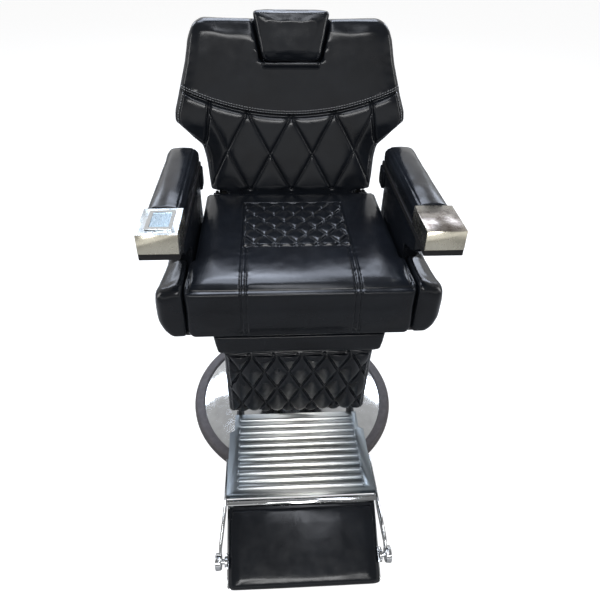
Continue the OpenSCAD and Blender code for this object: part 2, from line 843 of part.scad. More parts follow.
function back_ring(v, above) =
    let (ze = back_edge_z(v, above), half = back_half(ze), h = head_half(above), pitch = back_quilt_a / 4)
    let (mid = above < 300 ? [5 * pitch, 6 * pitch, 7 * pitch] : [h, h + 1.5, 8 * pitch - 6])
    let (squeeze = min(1, (half - 12) / (14.5 * pitch)))
    let (right = concat(mid, [for (k = [8 : 14]) k * pitch * squeeze], [half - 12, half - 2]))
    let (xs = concat([for (k = [len(right) - 1 : -1 : 0]) -right[k]], [for (k = [-4 : 4]) k * pitch], right))
    let (rear = back_cushion_t)
    concat(
        [for (x = xs) let (z = row_z(v, above, x, half), d = back_front(x, z, v)) [x, d, z, -d]],
        [for (p = [[half, 24], [half, rear - 8], [half - 6, rear], [-half + 6, rear], [-half, rear - 8], [-half, 24]])
            [p[0], p[1], ze, 0]]);

module back_cushion() {
    above = concat([seam_mid + 7, 240, 280, head_bottom - 8, head_bottom - 6.5, head_bottom + 16],
        [for (k = [50, 30, 18, 9, 3, 0]) back_h - k]);
    lip = [for (z = [lip_h, lip_h - 4, lip_h - 10, lip_step]) -z / back_quilt_b];
    color(black) back_place() loft(concat(
        [for (v = lip) back_ring(v, 0)], [for (k = [0 : 8]) back_ring(k / 4, 0)], [for (z = above) back_ring(3, z)]));
}

module back_outline(inset, foot) {
    heights = [0, 60, 110, 125, 142, 160, 176, 188, 206, 283, back_h - 107, back_h - 50, back_h - 24, back_h - inset];
    right = concat([[back_foot_half, -foot], [back_foot_half, -1.5]], [for (z = heights) [back_half(z) - inset, z]]);
    polygon(concat(right, [for (k = [len(right) - 1 : -1 : 0]) [-right[k][0], right[k][1]]]));
}

// Plywood board with two grooves for the headrest guides
module back_board() {
    color("#b08a5a") back_place() translate([0, back_board_y + back_board_t, 0]) rotate([90, 0, 0])
        linear_extrude(back_board_t) difference() {
            back_outline(10, back_foot);
            for (side = [-1, 1]) translate([side * post_x - guide_r - seat_gap, back_h - 12 - guide_len])
                square([2 * (guide_r + seat_gap), guide_len + 20]);
        }
}

// Upholstered rear panel that hides the board and the hinge plates, stepped in at its edge
module back_cover() {
    thick = back_t - back_cover_y;
    step = thick * 0.6;
    color(black) back_place() union() {
        translate([0, back_cover_y + step, 0]) rotate([90, 0, 0]) linear_extrude(step) back_outline(4, back_foot);
        translate([0, back_t, 0]) rotate([90, 0, 0]) linear_extrude(thick - 1) back_outline(12, back_foot - 8);
    }
}

// Steel plates from the board forward to the hinge pins
module back_brackets() {
    hinge = hinge_local();
    color("#3a3b3e") back_place() difference() {
        mirrored() side_plate(bracket_x, hinge_t) union() {
            translate(hinge) circle(r = hinge_boss - 3);
            polygon([hinge + [0, 15], hinge + [-4, -15], [back_board_y, -back_foot + 2], [back_board_y, -3], [40, -3]]);
        }
        rod_x(-hinge_x, hinge_x, hinge[0], hinge[1], hinge_r + fit);
    }
}

// Two steel tubes in the board's grooves that guide the headrest posts
module headrest_guides() {
    color(steel) back_place() mirrored() translate([post_x, post_y, back_h - 12 - guide_len]) difference() {
        cylinder(r = guide_r, h = guide_len);
        translate([0, 0, -1]) cylinder(r = post_r + fit, h = guide_len + 2);
    }
}

// Two posts joined over the top of the cushion to a plate behind the pad
module headrest_posts() {
    plate_y = head_recess - 5;
    color(chrome) back_place() union() {
        mirrored() translate([post_x, post_y, carrier_z + 1 - post_len]) cylinder(r = post_r, h = post_len);
        translate([-60, plate_y, carrier_z]) cube([120, post_y + post_r + 2 - plate_y, carrier_t]);
        translate([-60, plate_y, head_bottom + 20]) cube([120, 3, carrier_z + carrier_t - head_bottom - 20]);
    }
}

// Trapezoid pad, proud of the back, narrower at its lower edge
module headrest_pad() {
    heights = concat([for (k = [0, 2, 7, 16, 34]) head_bottom + k], [for (k = [52, 28, 14, 6, 2, 0]) head_top - k]);
    rear = head_recess - 5 - seat_gap;
    rings = [for (z = heights)
        let (drop = edge_drop(z - head_bottom, 18) + edge_drop(head_top - z, 14))
        let (half = head_half(z) - 3 - edge_drop(z - head_bottom, 16) - edge_drop(head_top - z, 10) * 0.8, front = -head_proud + drop)
        [for (p = [[-half, rear], [-half, front + 12], [-half + 3, front + 5], [-half + 10, front + 0.5], [-half * 0.5, front - 2],
            [0, front - 3], [half * 0.5, front - 2], [half - 10, front + 0.5], [half - 3, front + 5], [half, front + 12], [half, rear]])
            [p[0], p[1], z, 0]]];
    color(black) back_place() loft(rings);
}

// ---------- recline lever ----------

module recline_lever() {
    tip = [release_y - release_l, release_z - release_drop];
    color(chrome) union() {
        rod_x(rail_x + 8, release_x + 8, release_y, release_z, release_r);
        side_plate(release_x, 8) union() {
            translate([release_y, release_z]) circle(r = 13);
            polygon([[release_y, release_z + 9], tip + [0, 7], tip + [0, -7], [release_y, release_z - 9]]);
        }
    }
}

module lever_grip() {
    tip = release_y - release_l - seat_gap;
    color("#202022") translate([release_x + 4, tip, release_z - release_drop]) rotate([100, 0, 0]) union() {
        translate([0, 0, 1.2]) cylinder(r = 12, h = grip_l);
        translate([0, 0, grip_l + 1.2]) sphere(r = 12);
    }
}

// ---------- leg rest ----------

// The leg rest's own frame: the upper front edge of the calf pad, with +Z up the pad and +Y into it
module leg_place() {
    translate([0, leg_y, leg_z]) rotate([leg_lean, 0, 0]) children();
}

module legrest_pins() {
    pin = leg_pin_world();
    outer = leg_bar_x + leg_bar_t + 1 + leg_lug_t;
    color(steel) mirrored() {
        rod_x(leg_bar_x - 3, outer + 2, pin[0], pin[1], leg_pin_r);
        rod_x(outer + seat_gap, outer + 4, pin[0], pin[1], leg_pin_r + 3);
    }
}

// Two flat bars that hook over the pad to the hinge, joined by cross bars, with feet under the foot plate
module legrest_frame() {
    rear = calf_t + calf_board_t + 2 * seat_gap;
    depth = 20;
    foot = -320;
    shelf_t = 12;
    color("#3a3b3e") difference() {
        union() {
            leg_place() mirrored() side_plate(leg_bar_x, leg_bar_t) union() {
                translate([leg_pin_y, leg_pin_z]) circle(r = leg_eye_r);
                polygon([[leg_pin_y, leg_pin_z + leg_eye_r], [leg_pin_y, leg_pin_z - 7.5], [rear, 1], [rear, foot],
                    [rear + depth, foot], [rear + depth, leg_pin_z + leg_eye_r]]);
            }
            leg_place() for (z = [-40, -200]) translate([-leg_bar_x - 1, rear, z]) cube([2 * leg_bar_x + 2, depth, 20]);
            plate_place() mirrored() translate([leg_bar_x - 6, 60, -plate_t2 - shelf_t - seat_gap])
                cube([leg_bar_t + 12, plate_l - 42, shelf_t]);
        }
        leg_place() rod_x(-leg_bar_x - 20, leg_bar_x + 20, leg_pin_y, leg_pin_z, leg_pin_r + fit);
    }
}

module calf_board() {
    color("#b08a5a") leg_place() translate([0, calf_t + calf_board_t + seat_gap, -calf_h]) rotate([90, 0, 0])
        linear_extrude(calf_board_t) rounded_rect(-calf_w / 2 + 4, calf_w / 2 - 4, 4, calf_h - 2, 6);
}

function calf_ring(z) =
    let (half = calf_w / 2 - edge_drop(-z, 5) - edge_drop(z + calf_h, 8))
    let (xs = concat([-half + 1, -half + 8, -half + 20], steps(-150, 150, 20), [half - 20, half - 8, half - 1]))
    concat(
        [for (x = xs) let (e = edge_drop(half - abs(x), 14) + edge_drop(-z, 8) + edge_drop(z + calf_h, 14))
            let (q = half - abs(x) > 15 ? 6 * (1 - tuft(x, z + calf_quilt_top, calf_quilt_a, calf_quilt_b)) : 4)
            [x, e + q - 4, z, -e - q]],
        [[half, 18, z, 0], [half - 3, calf_t, z, 0], [-half + 3, calf_t, z, 0], [-half, 18, z, 0]]);

module calf_pad() {
    heights = concat([-calf_h, -calf_h + 2, -calf_h + 8], steps(-calf_h + 11, -12, 20), [-8, -3, 0]);
    color(black) leg_place() loft([for (z = heights) calf_ring(z)]);
}

// The foot plate's own frame: its front edge and top, with +Y running back along it
module plate_place() {
    translate([0, plate_front_y, plate_front_z]) rotate([-plate_slope, 0, 0]) children();
}

module plate_outline(inset) {
    half = plate_w / 2 - inset;
    narrow = half - plate_notch_w;
    polygon([[-half, inset], [half, inset], [half, plate_notch_y - inset], [narrow, plate_notch_y + 6 - inset],
        [narrow, plate_l + 1], [-narrow, plate_l + 1], [-narrow, plate_notch_y + 6 - inset], [-half, plate_notch_y - inset]]);
}

// Pressed plate with turned-down edges and a row of raised ribs
module foot_plate() {
    color(chrome) plate_place() union() {
        intersection() {
            translate([-plate_w, -1, -plate_lip]) cube([2 * plate_w, plate_l + 1, plate_lip + 1]);
            difference() {
                translate([0, 0, -plate_lip]) linear_extrude(plate_lip) plate_outline(0);
                translate([0, 0, -plate_lip - 1]) linear_extrude(plate_lip + 1 - plate_t2) plate_outline(plate_t2);
            }
        }
        intersection() {
            for (i = [0 : rib_count - 1]) translate([0, rib_first + i * rib_pitch, -1]) {
                rod_x(-rib_half, rib_half, 0, 0, rib_r);
                for (side = [-1, 1]) translate([side * rib_half, 0, 0]) sphere(r = rib_r);
            }
            translate([-plate_w, 0, -1]) cube([2 * plate_w, plate_l, 20]);
        }
    }
}

// Chrome arm that leaves the plate's side, bows outwards and ends at the footrest's pin
module side_arm(side) {
    x0 = plate_w / 2 + seat_gap;
    x1 = flip_arm_x;
    pin = flip_pin_world();
    root = plate_front_y + 110;
    color(chrome) mirror([side < 0 ? 1 : 0, 0, 0]) difference() {
        union() {
            intersection() {
                translate([0, 0, 30]) linear_extrude(200) polygon([
                    [x0, root], [x0, plate_front_y - 20], [x1, plate_front_y - 95], [x1, pin[0] - 20],
                    [x1 + side_arm_t, pin[0] - 20], [x1 + side_arm_t, plate_front_y - 97],
                    [x0 + side_arm_t, plate_front_y - 23], [x0 + side_arm_t, root]]);
                side_plate(100, 150) polygon([[root, 145], [root, 131], [plate_front_y - 10, 130], pin + [7, -10],
                    pin + [-7, 10], [plate_front_y - 30, plate_front_z - 4], [plate_front_y, plate_front_z - 2]]);
            }
            rod_x(x1, x1 + side_arm_t, pin[0], pin[1], side_eye_r);
        }
        rod_x(100, 250, pin[0], pin[1], flip_pin_r + fit);
    }
}

module side_arm_right() {
    side_arm(-1);
}

module side_arm_left() {
    side_arm(1);
}

// ---------- fold-over footrest ----------

module flip_place() {
    translate([0, flip_y, flip_z]) rotate([flip_slope, 0, 0]) children();
}

// The footrest's hinge in the chair's own Y and Z
function flip_pin_world() = [
    flip_y + flip_pin_y * cos(flip_slope) - flip_pin_z * sin(flip_slope),
    flip_z + flip_pin_y * sin(flip_slope) + flip_pin_z * cos(flip_slope)];

// Round-headed pins through the side arms into the tray
module flip_pins() {
    pin = flip_pin_world();
    color(chrome) mirrored() {
        rod_x(cheek_in, flip_arm_x + side_arm_t + 2, pin[0], pin[1], flip_pin_r);
        rod_x(flip_arm_x + side_arm_t + seat_gap, flip_arm_x + side_arm_t + knob_t, pin[0], pin[1], knob_r);
    }
}

// Pressed tray behind the pad: a ribbed face for the toes, side cheeks at the pins and a rolled rear strip
module flip_tray() {
    half = flip_w / 2;
    low = -flip_t - tray_t;
    color(chrome) flip_place() difference() {
        union() {
            translate([0, 0, low + 3]) linear_extrude(tray_t - 3 - seat_gap)
                rounded_rect(-half, half, 2, flip_l + strip_w, 10);
            intersection() {
                translate([-half, flip_l + 1, low + 3]) cube([flip_w, strip_w - 1, tray_t + flip_t - 4]);
                translate([-half, flip_l + 1, low]) side_plate(0, flip_w) polygon(concat(
                    [[0, 0], [strip_w - 1, 0]], arc(strip_w - 9, tray_t + flip_t - 9, 8, 0, 90, 4), [[0, tray_t + flip_t - 1]]));
            }
            for (i = [0 : 7]) translate([0, 22 + i * 20, low + 3]) rod_x(-half + 25, half - 25, 0, 0, 3);
            mirrored() side_plate(cheek_in, cheek_t) union() {
                translate([flip_pin_y, flip_pin_z]) circle(r = 12);
                translate([flip_pin_y - 16, low + 3]) square([32, -low + flip_pin_z - 3]);
            }
        }
        rod_x(-half - 20, half + 20, flip_pin_y, flip_pin_z, flip_pin_r + fit);
    }
}

// Fold-over cushion, crowned, with drawn-in edges and rounded lower corners
module flip_pad() {
    side = cheek_in - 0.5;
    depths = [0, 1.5, 5, 11, 20, 45, 90, 135, 160, 172, 178, flip_l];
    rings = [for (y = depths)
        let (half = side - edge_drop(y, 12), e = edge_drop(y, 12) + edge_drop(flip_l - y, 9), top = -1 - e)
        [for (p = [[-half, -flip_t], [-half, top - 10], [-half + 3, top - 4], [-half + 10, top - 0.5], [-half * 0.5, top + 2.5],
            [0, top + 3.5], [half * 0.5, top + 2.5], [half - 10, top - 0.5], [half - 3, top - 4], [half, top - 10], [half, -flip_t]])
            [p[0], y, p[1], 0]]];
    color(black) flip_place() loft(rings);
}

// ---------- choice of node ----------

base_plate();
base_rim();
base_dome();
pump_cylinder();
pump_bolts();
cylinder_gland();
column_cover();
pedal_pin();
pedal_lever();
pedal_pad();
pump_ram();
ram_hub();
thrust_washer();
swivel_nut();
swivel_plate();
seat_frame();
seat_board();
seat_cushion();
bolster_right();
bolster_left();
seat_skirt();
arm_panel_right();
arm_panel_left();
arm_bracket_right();
arm_bracket_left();
arm_board_right();
arm_board_left();
arm_pad_right();
arm_pad_left();
arm_block_right();
arm_block_left();
arm_cap_right();
arm_cap_left();
ashtray_cup();
ashtray_pin();
ashtray_lid();
back_hinge_right();
back_hinge_left();
back_pins();
back_cushion();
back_board();
back_cover();
back_brackets();
headrest_guides();
headrest_posts();
headrest_pad();
recline_lever();
lever_grip();
legrest_pins();
legrest_frame();
calf_board();
calf_pad();
foot_plate();
side_arm_right();
side_arm_left();
flip_pins();
flip_tray();
flip_pad();
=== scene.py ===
import math

import bpy
import numpy as np
from mathutils import Matrix, Vector, noise
from mathutils.bvhtree import BVHTree


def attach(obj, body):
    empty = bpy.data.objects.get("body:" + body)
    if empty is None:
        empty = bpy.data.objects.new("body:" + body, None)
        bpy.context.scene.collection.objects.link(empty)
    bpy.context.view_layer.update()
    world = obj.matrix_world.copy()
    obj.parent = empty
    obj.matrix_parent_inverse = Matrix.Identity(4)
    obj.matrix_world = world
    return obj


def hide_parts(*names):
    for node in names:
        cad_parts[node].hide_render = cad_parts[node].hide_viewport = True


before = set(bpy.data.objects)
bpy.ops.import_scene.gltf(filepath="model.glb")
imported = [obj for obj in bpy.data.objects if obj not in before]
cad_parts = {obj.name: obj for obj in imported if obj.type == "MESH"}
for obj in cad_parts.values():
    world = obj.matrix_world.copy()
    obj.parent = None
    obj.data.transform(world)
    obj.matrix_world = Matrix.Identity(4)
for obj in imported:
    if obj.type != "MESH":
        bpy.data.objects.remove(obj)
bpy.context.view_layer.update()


# ---------- base ring and dome ----------
# A heavy disc on the floor: a steel plate with a black rubber rim pressed round it, under a
# spun steel dome that is chrome plated. The rim is moulded and slightly dusty.


def colour(hex_value):
    """A linear colour from an sRGB hex value."""
    parts = [int(hex_value[i:i + 2], 16) / 255 for i in (1, 3, 5)]
    return [c / 12.92 if c <= 0.04045 else ((c + 0.055) / 1.055) ** 2.4 for c in parts] + [1.0]


def add(tree, kind, inputs=None, **settings):
    """Adds a node; an input is a value, or the socket that it is linked from."""
    made = tree.nodes.new(kind)
    for name, value in settings.items():
        setattr(made, name, value)
    for name, value in (inputs or {}).items():
        if isinstance(value, bpy.types.NodeSocket):
            tree.links.new(value, made.inputs[name])
        else:
            made.inputs[name].default_value = value
    return made


def new_material(name):
    """An empty material with its shader and the object's own coordinates, in metres."""
    material = bpy.data.materials.new(name)
    material.use_nodes = True
    tree = material.node_tree
    tree.nodes.clear()
    shader = add(tree, "ShaderNodeBsdfPrincipled")
    add(tree, "ShaderNodeOutputMaterial", {"Surface": shader.outputs[0]})
    place = add(tree, "ShaderNodeTexCoord").outputs["Object"]
    return material, tree, shader, place


def noise_value(tree, place, mm, low, high, detail=2.0):
    """Noise with features of about that many millimetres, from low to high."""
    cloud = add(tree, "ShaderNodeTexNoise", {"Vector": place, "Scale": 1000 / mm, "Detail": detail})
    return add(tree, "ShaderNodeMapRange", {"Value": cloud.outputs["Fac"], "From Min": 0.3, "From Max": 0.7,
                                           "To Min": low, "To Max": high}).outputs[0]


def tint(tree, value, first, second):
    """A colour between two, by a value from 0 to 1."""
    mix = add(tree, "ShaderNodeMix", {0: value, 6: colour(first), 7: colour(second)}, data_type="RGBA")
    return mix.outputs[2]


def clouded(tree, shader, place, mm, first, second, detail=2.0):
    """Colours the surface in clouds of two colours."""
    cloud = noise_value(tree, place, mm, 0.0, 1.0, detail)
    tree.links.new(tint(tree, cloud, first, second), shader.inputs["Base Color"])


def roughened(tree, shader, place, mm, low, high, detail=2.0):
    """Varies the roughness between two values."""
    tree.links.new(noise_value(tree, place, mm, low, high, detail), shader.inputs["Roughness"])


def bump(tree, shader, height, mm, strength=1.0):
    """Raises the surface by a height from 0 to 1, where 1 is that many millimetres."""
    bumped = add(tree, "ShaderNodeBump", {"Height": height, "Distance": mm / 1000, "Strength": strength})
    tree.links.new(bumped.outputs[0], shader.inputs["Normal"])
    return bumped


def chrome_plate():
    """Chrome plate: bright nickel-chromium over polished steel, hard mirror with faint wipe haze."""
    material, tree, shader, place = new_material("chrome_plate")
    shader.inputs["Metallic"].default_value = 1.0
    clouded(tree, shader, place, 45, "#dfe1e2", "#cfd1d3", 4.0)
    roughened(tree, shader, place, 18, 0.05, 0.13, 5.0)
    bump(tree, shader, noise_value(tree, place, 70, 0.0, 1.0, 1.0), 0.12, 0.5)
    return material


def moulded_rubber(name, first, second, low, high):
    """Black rubber, compression moulded: dull, with dust in its pores and a faint sheen."""
    material, tree, shader, place = new_material(name)
    clouded(tree, shader, place, 14, first, second, 5.0)
    roughened(tree, shader, place, 9, low, high, 3.0)
    shader.inputs["IOR"].default_value = 1.52
    bump(tree, shader, noise_value(tree, place, 1.6, 0.0, 1.0), 0.12, 0.6)
    return material


def painted_steel(name, first, second):
    """Structural steel with stoved satin black paint, slightly orange-peeled."""
    material, tree, shader, place = new_material(name)
    clouded(tree, shader, place, 30, first, second, 4.0)
    roughened(tree, shader, place, 22, 0.34, 0.5, 3.0)
    shader.inputs["IOR"].default_value = 1.5
    bump(tree, shader, noise_value(tree, place, 3, 0.0, 1.0), 0.05, 0.7)
    return material


def coat(material, *nodes):
    """Gives CAD nodes that keep their own shape a material."""
    for name in nodes:
        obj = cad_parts[name]
        obj.data.materials.clear()
        obj.data.materials.append(material)


def only(obj):
    """Selects one object and makes it active."""
    bpy.ops.object.select_all(action="DESELECT")
    obj.select_set(True)
    bpy.context.view_layer.objects.active = obj


def bare_copy(node, name):
    """A merged copy of a CAD node's mesh, as a new object at the origin."""
    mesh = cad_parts[node].data.copy()
    obj = bpy.data.objects.new(name, mesh)
    bpy.context.scene.collection.objects.link(obj)
    mesh.materials.clear()
    only(obj)
    bpy.ops.object.mode_set(mode="EDIT")
    bpy.ops.mesh.select_all(action="SELECT")
    bpy.ops.mesh.remove_doubles(threshold=0.00001)
    bpy.ops.mesh.customdata_custom_splitnormals_clear()
    bpy.ops.object.mode_set(mode="OBJECT")
    return obj


def eased(node, name, body, material, width, segments=2, angle=32):
    """The CAD node's shape with its sharp edges rounded by a width in metres, as polishing leaves them."""
    obj = bare_copy(node, name)
    bpy.ops.object.mode_set(mode="EDIT")
    bpy.ops.mesh.select_all(action="SELECT")
    bpy.ops.mesh.dissolve_limited(angle_limit=math.radians(0.6))
    bpy.ops.object.mode_set(mode="OBJECT")
    edge = obj.modifiers.new("edge", "BEVEL")
    edge.width = width
    edge.segments = segments
    edge.limit_method = "ANGLE"
    edge.angle_limit = math.radians(angle)
    edge.use_clamp_overlap = True
    edge.harden_normals = True
    bpy.ops.object.modifier_apply(modifier="edge")
    bpy.ops.object.shade_smooth_by_angle(angle=math.radians(35))
    obj.data.materials.append(material)
    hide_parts(node)
    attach(obj, body)
    return obj


chrome = chrome_plate()
rim_rubber = moulded_rubber("rim_rubber", "#3d393b", "#4d484a", 0.5, 0.66)
black_enamel = painted_steel("black_enamel", "#17181a", "#202124")
coat(rim_rubber, "base_rim")
coat(chrome, "base_dome")
coat(black_enamel, "base_plate")

# ---------- pump column ----------
# The cast foot of the pump is bolted down through the plate and hidden by a chrome sleeve.
# The ram is hard chromed and slides through a black gland. A bronze washer carries the swivel.


def machined_steel():
    """Turned mild steel, left bare and oiled: fine tool marks run round and along it."""
    material, tree, shader, place = new_material("machined_steel")
    shader.inputs["Metallic"].default_value = 1.0
    marks = add(tree, "ShaderNodeMapping", {"Vector": place, "Scale": (1.0, 1.0, 30.0)})
    clouded(tree, shader, marks.outputs[0], 20, "#8f9296", "#a6a9ac")
    roughened(tree, shader, marks.outputs[0], 12, 0.24, 0.4)
    return material


def oiled_bronze():
    """Turned bearing bronze, oiled and browned by wear."""
    material, tree, shader, place = new_material("oiled_bronze")
    shader.inputs["Metallic"].default_value = 1.0
    clouded(tree, shader, place, 8, "#b08a4a", "#8f6c36")
    roughened(tree, shader, place, 6, 0.25, 0.4)
    return material


steel = machined_steel()
gland_rubber = moulded_rubber("gland_rubber", "#151516", "#1f1f20", 0.42, 0.6)
cast_iron = painted_steel("painted_cast_iron", "#1b1c1e", "#26272a")
bronze = oiled_bronze()
coat(chrome, "column_cover", "pump_ram")
coat(steel, "pump_bolts", "pedal_pin", "ram_hub", "swivel_nut", "swivel_plate", "ashtray_pin", "back_pins",
     "headrest_guides", "legrest_pins")
coat(cast_iron, "pump_cylinder")
coat(gland_rubber, "cylinder_gland")
coat(bronze, "thrust_washer")

# ---------- pump pedal ----------
# A chromed flat bar on a pin, pressed down by the barber's foot. Its shoe is black rubber,
# pushed on over the end.
eased("pedal_lever", "pump_pedal_bar", "pedal", chrome, 0.0012)
eased("pedal_pad", "pump_pedal_shoe", "pedal", gland_rubber, 0.0015)

# ---------- seat frame and board ----------
# Welded box section with satin black paint carries the seat on its swivel plate. The boards
# that the cushions are screwed to are plywood, dipped in thin black paint.
frame_paint = painted_steel("satin_black_paint", "#1a1b1d", "#232427")


def dipped_board():
    """Plywood dipped in thin black paint: dull, with the grain just showing through."""
    material, tree, shader, place = new_material("black_dipped_plywood")
    along = add(tree, "ShaderNodeMapping", {"Vector": place, "Scale": (9.0, 1.0, 40.0)})
    grain = noise_value(tree, along.outputs[0], 60, 0.0, 1.0, 6.0)
    tree.links.new(tint(tree, grain, "#0f0f11", "#1b1a1b"), shader.inputs["Base Color"])
    roughened(tree, shader, along.outputs[0], 20, 0.5, 0.7)
    shader.inputs["Specular IOR Level"].default_value = 0.35
    bump(tree, shader, grain, 0.1, 0.5)
    return material


board_paint = dipped_board()
coat(frame_paint, "seat_frame", "back_hinge_right", "back_hinge_left", "back_brackets", "legrest_frame")
coat(board_paint, "seat_board", "back_board", "calf_board")

# ---------- seat cushion ----------
# Black leathercloth sewn over moulded foam. A square of small diamonds is quilted into the
# middle, and twin seams run from its front corners over the front edge. It is screwed to the board.


def leathercloth():
    """Vinyl-coated leathercloth: near-black, glossy, embossed with a fine pebble grain and softly creased."""
    material, tree, shader, place = new_material("black_leathercloth")
    clouded(tree, shader, place, 90, "#121418", "#181b20", 3.0)
    roughened(tree, shader, place, 26, 0.16, 0.24, 4.0)
    shader.inputs["Specular IOR Level"].default_value = 0.28
    pebble = add(tree, "ShaderNodeTexVoronoi", {"Vector": place, "Scale": 1000 / 2.4}, feature="SMOOTH_F1")
    fine = bump(tree, shader, pebble.outputs["Distance"], 0.06, 0.2)
    folds = add(tree, "ShaderNodeTexNoise",
                {"Vector": place, "Scale": 1000 / 55, "Detail": 3.0, "Distortion": 0.8})
    soft = add(tree, "ShaderNodeBump", {"Height": folds.outputs["Fac"], "Distance": 0.001, "Strength": 0.4})
    tree.links.new(soft.outputs[0], fine.inputs["Normal"])
    return material


def points_of(obj):
    """The vertices in millimetres."""
    co = np.empty(len(obj.data.vertices) * 3, np.float32)
    obj.data.vertices.foreach_get("co", co)
    return co.reshape(-1, 3).astype(float) * 1000


def normals_of(obj):
    """The vertex normals."""
    no = np.empty(len(obj.data.vertices) * 3, np.float32)
    obj.data.vertices.foreach_get("normal", no)
    return no.reshape(-1, 3).astype(float)


def put_points(obj, points):
    """Sets the vertices, from millimetres."""
    obj.data.vertices.foreach_set("co", (points / 1000).astype(np.float32).ravel())
    obj.data.update()


def turned(points, angle):
    """Points or normals turned about X, in degrees."""
    c, s = math.cos(math.radians(angle)), math.sin(math.radians(angle))
    out = points.copy()
    out[:, 1] = points[:, 1] * c - points[:, 2] * s
    out[:, 2] = points[:, 1] * s + points[:, 2] * c
    return out


def edge_drop(d, r):
    """How far a rounded edge of radius r has dropped, at a distance d from the edge."""
    e = np.clip(r - np.clip(d, 0, None), 0, r)
    return r - np.sqrt(r * r - e * e)


def step(d, w):
    """0 below zero, rising smoothly to 1 at w."""
    t = np.clip(d / w, 0, 1)
    return t * t * (3 - 2 * t)


def groove(d, w):
    """1 on a line, falling off within about w on either side."""
    return np.exp(-((d / w) ** 2))


def diamonds(x, y, a, b, roll):
    """A quilt of diamonds with half axes a and b, whose pads roll down to the seams within a few
    millimetres: the pad's height from 0 to 1, and the distance to the nearest seam."""
    u, v = (x / a + y / b) / 2, (x / a - y / b) / 2
    reach = 1 / math.hypot(0.5 / a, 0.5 / b)
    du, dv = np.abs(u - np.round(u)) * reach, np.abs(v - np.round(v)) * reach
    return (1 - np.exp(-du / roll)) * (1 - np.exp(-dv / roll)), np.minimum(du, dv)


def ripple(points, size, seed):
    """Smooth noise from -1 to 1 with features of that many millimetres."""
    offset = Vector((seed * 7.3, seed * 3.1, seed * 5.7))
    return np.array([noise.noise(Vector(p) / size + offset) for p in points])


def evened(obj, values, rounds):
    """Averages a value per vertex with its neighbours, a number of times."""
    ends = np.empty(len(obj.data.edges) * 2, np.int32)
    obj.data.edges.foreach_get("vertices", ends)
    a, b = ends.reshape(-1, 2).T
    size = len(values)
    count = np.bincount(ends, minlength=size).astype(float)[:, None]
    for number in range(rounds):
        sums = [np.bincount(a, part[b], size) + np.bincount(b, part[a], size) for part in values.T]
        values = 0.4 * values + 0.6 * np.stack(sums, axis=1) / count
    return values


SWELL_FRAMES, EVEN_ROUNDS = 20, 26


def swell(obj, held, pressure, cap):
    """Blows the cover up with cloth pressure from inside. The held vertices stay, the travel is evened
    and capped, in millimetres."""
    before = points_of(obj)
    fixed = obj.vertex_groups.new(name="fixed")
    fixed.add([int(i) for i in np.nonzero(held)[0]], 1.0, "REPLACE")
    cloth = obj.modifiers.new("cloth", "CLOTH")
    cloth.settings.quality = 5
    cloth.settings.mass = 0.3
    cloth.settings.tension_stiffness = 25
    cloth.settings.compression_stiffness = 25
    cloth.settings.bending_stiffness = 0.6
    cloth.settings.use_pressure = True
    cloth.settings.uniform_pressure_force = pressure
    cloth.settings.effector_weights.gravity = 0
    cloth.settings.vertex_group_mass = "fixed"
    cloth.point_cache.frame_start = 1
    cloth.point_cache.frame_end = SWELL_FRAMES
    for number in range(1, SWELL_FRAMES + 1):
        bpy.context.scene.frame_set(number)
    only(obj)
    bpy.ops.object.modifier_apply(modifier="cloth")
    bpy.context.scene.frame_set(1)
    obj.vertex_groups.clear()
    after = points_of(obj)
    move = evened(obj, after - before, EVEN_ROUNDS)
    far = np.linalg.norm(move, axis=1)
    move *= (np.minimum(far, cap) / np.maximum(far, 1e-9))[:, None]
    put_points(obj, before + move)


def upholstered(node, name, voxel, inset, plain, held, pressure=4.0, cap=6.0, smooth=3):
    """A cushion from the room that its CAD solid holds: an even skin with faces of the voxel's size,
    drawn in by the inset, made plain where it will be sewn, and swollen from inside."""
    obj = bare_copy(node, name)
    skin = obj.modifiers.new("skin", "REMESH")
    skin.mode = "VOXEL"
    skin.voxel_size = voxel
    bpy.ops.object.modifier_apply(modifier="skin")
    relax = obj.modifiers.new("relax", "SMOOTH")
    relax.factor = 0.5
    relax.iterations = smooth
    bpy.ops.object.modifier_apply(modifier="relax")
    points, normals = points_of(obj), normals_of(obj)
    put_points(obj, plain(points, normals) - normals * inset)
    swell(obj, held(points, normals), pressure, cap)
    finer = obj.modifiers.new("finer", "SUBSURF")
    finer.levels = finer.render_levels = 1
    bpy.ops.object.modifier_apply(modifier="finer")
    return obj


def refined(obj, near):
    """Halves the faces near the seams, so that the sewing is crisp there."""
    pick = near(points_of(obj), normals_of(obj))
    only(obj)
    bpy.ops.object.mode_set(mode="EDIT")
    bpy.ops.mesh.select_mode(type="VERT")
    bpy.ops.mesh.select_all(action="DESELECT")
    bpy.ops.object.mode_set(mode="OBJECT")
    obj.data.vertices.foreach_set("select", pick)
    bpy.ops.object.mode_set(mode="EDIT")
    bpy.ops.mesh.subdivide(number_cuts=1, smoothness=0.0)
    bpy.ops.object.mode_set(mode="OBJECT")


def sewn(obj, depth, wobble=0.6, size=60, seed=1):
    """Moves every vertex along its normal: down by a depth worked out for it, and a little up and down
    by chance."""
    points, normals = points_of(obj), normals_of(obj)
    points = points - normals * (depth(points, normals) - wobble * ripple(points, size, seed))[:, None]
    put_points(obj, points)


def cushion_done(obj, body, fill, *nodes):
    """Smooth shading, leathercloth, the CAD nodes hidden, and the piece hung on its body."""
    only(obj)
    bpy.ops.object.shade_smooth()
    obj.data.materials.clear()
    obj.data.materials.append(leather)
    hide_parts(*nodes)
    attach(obj, body)


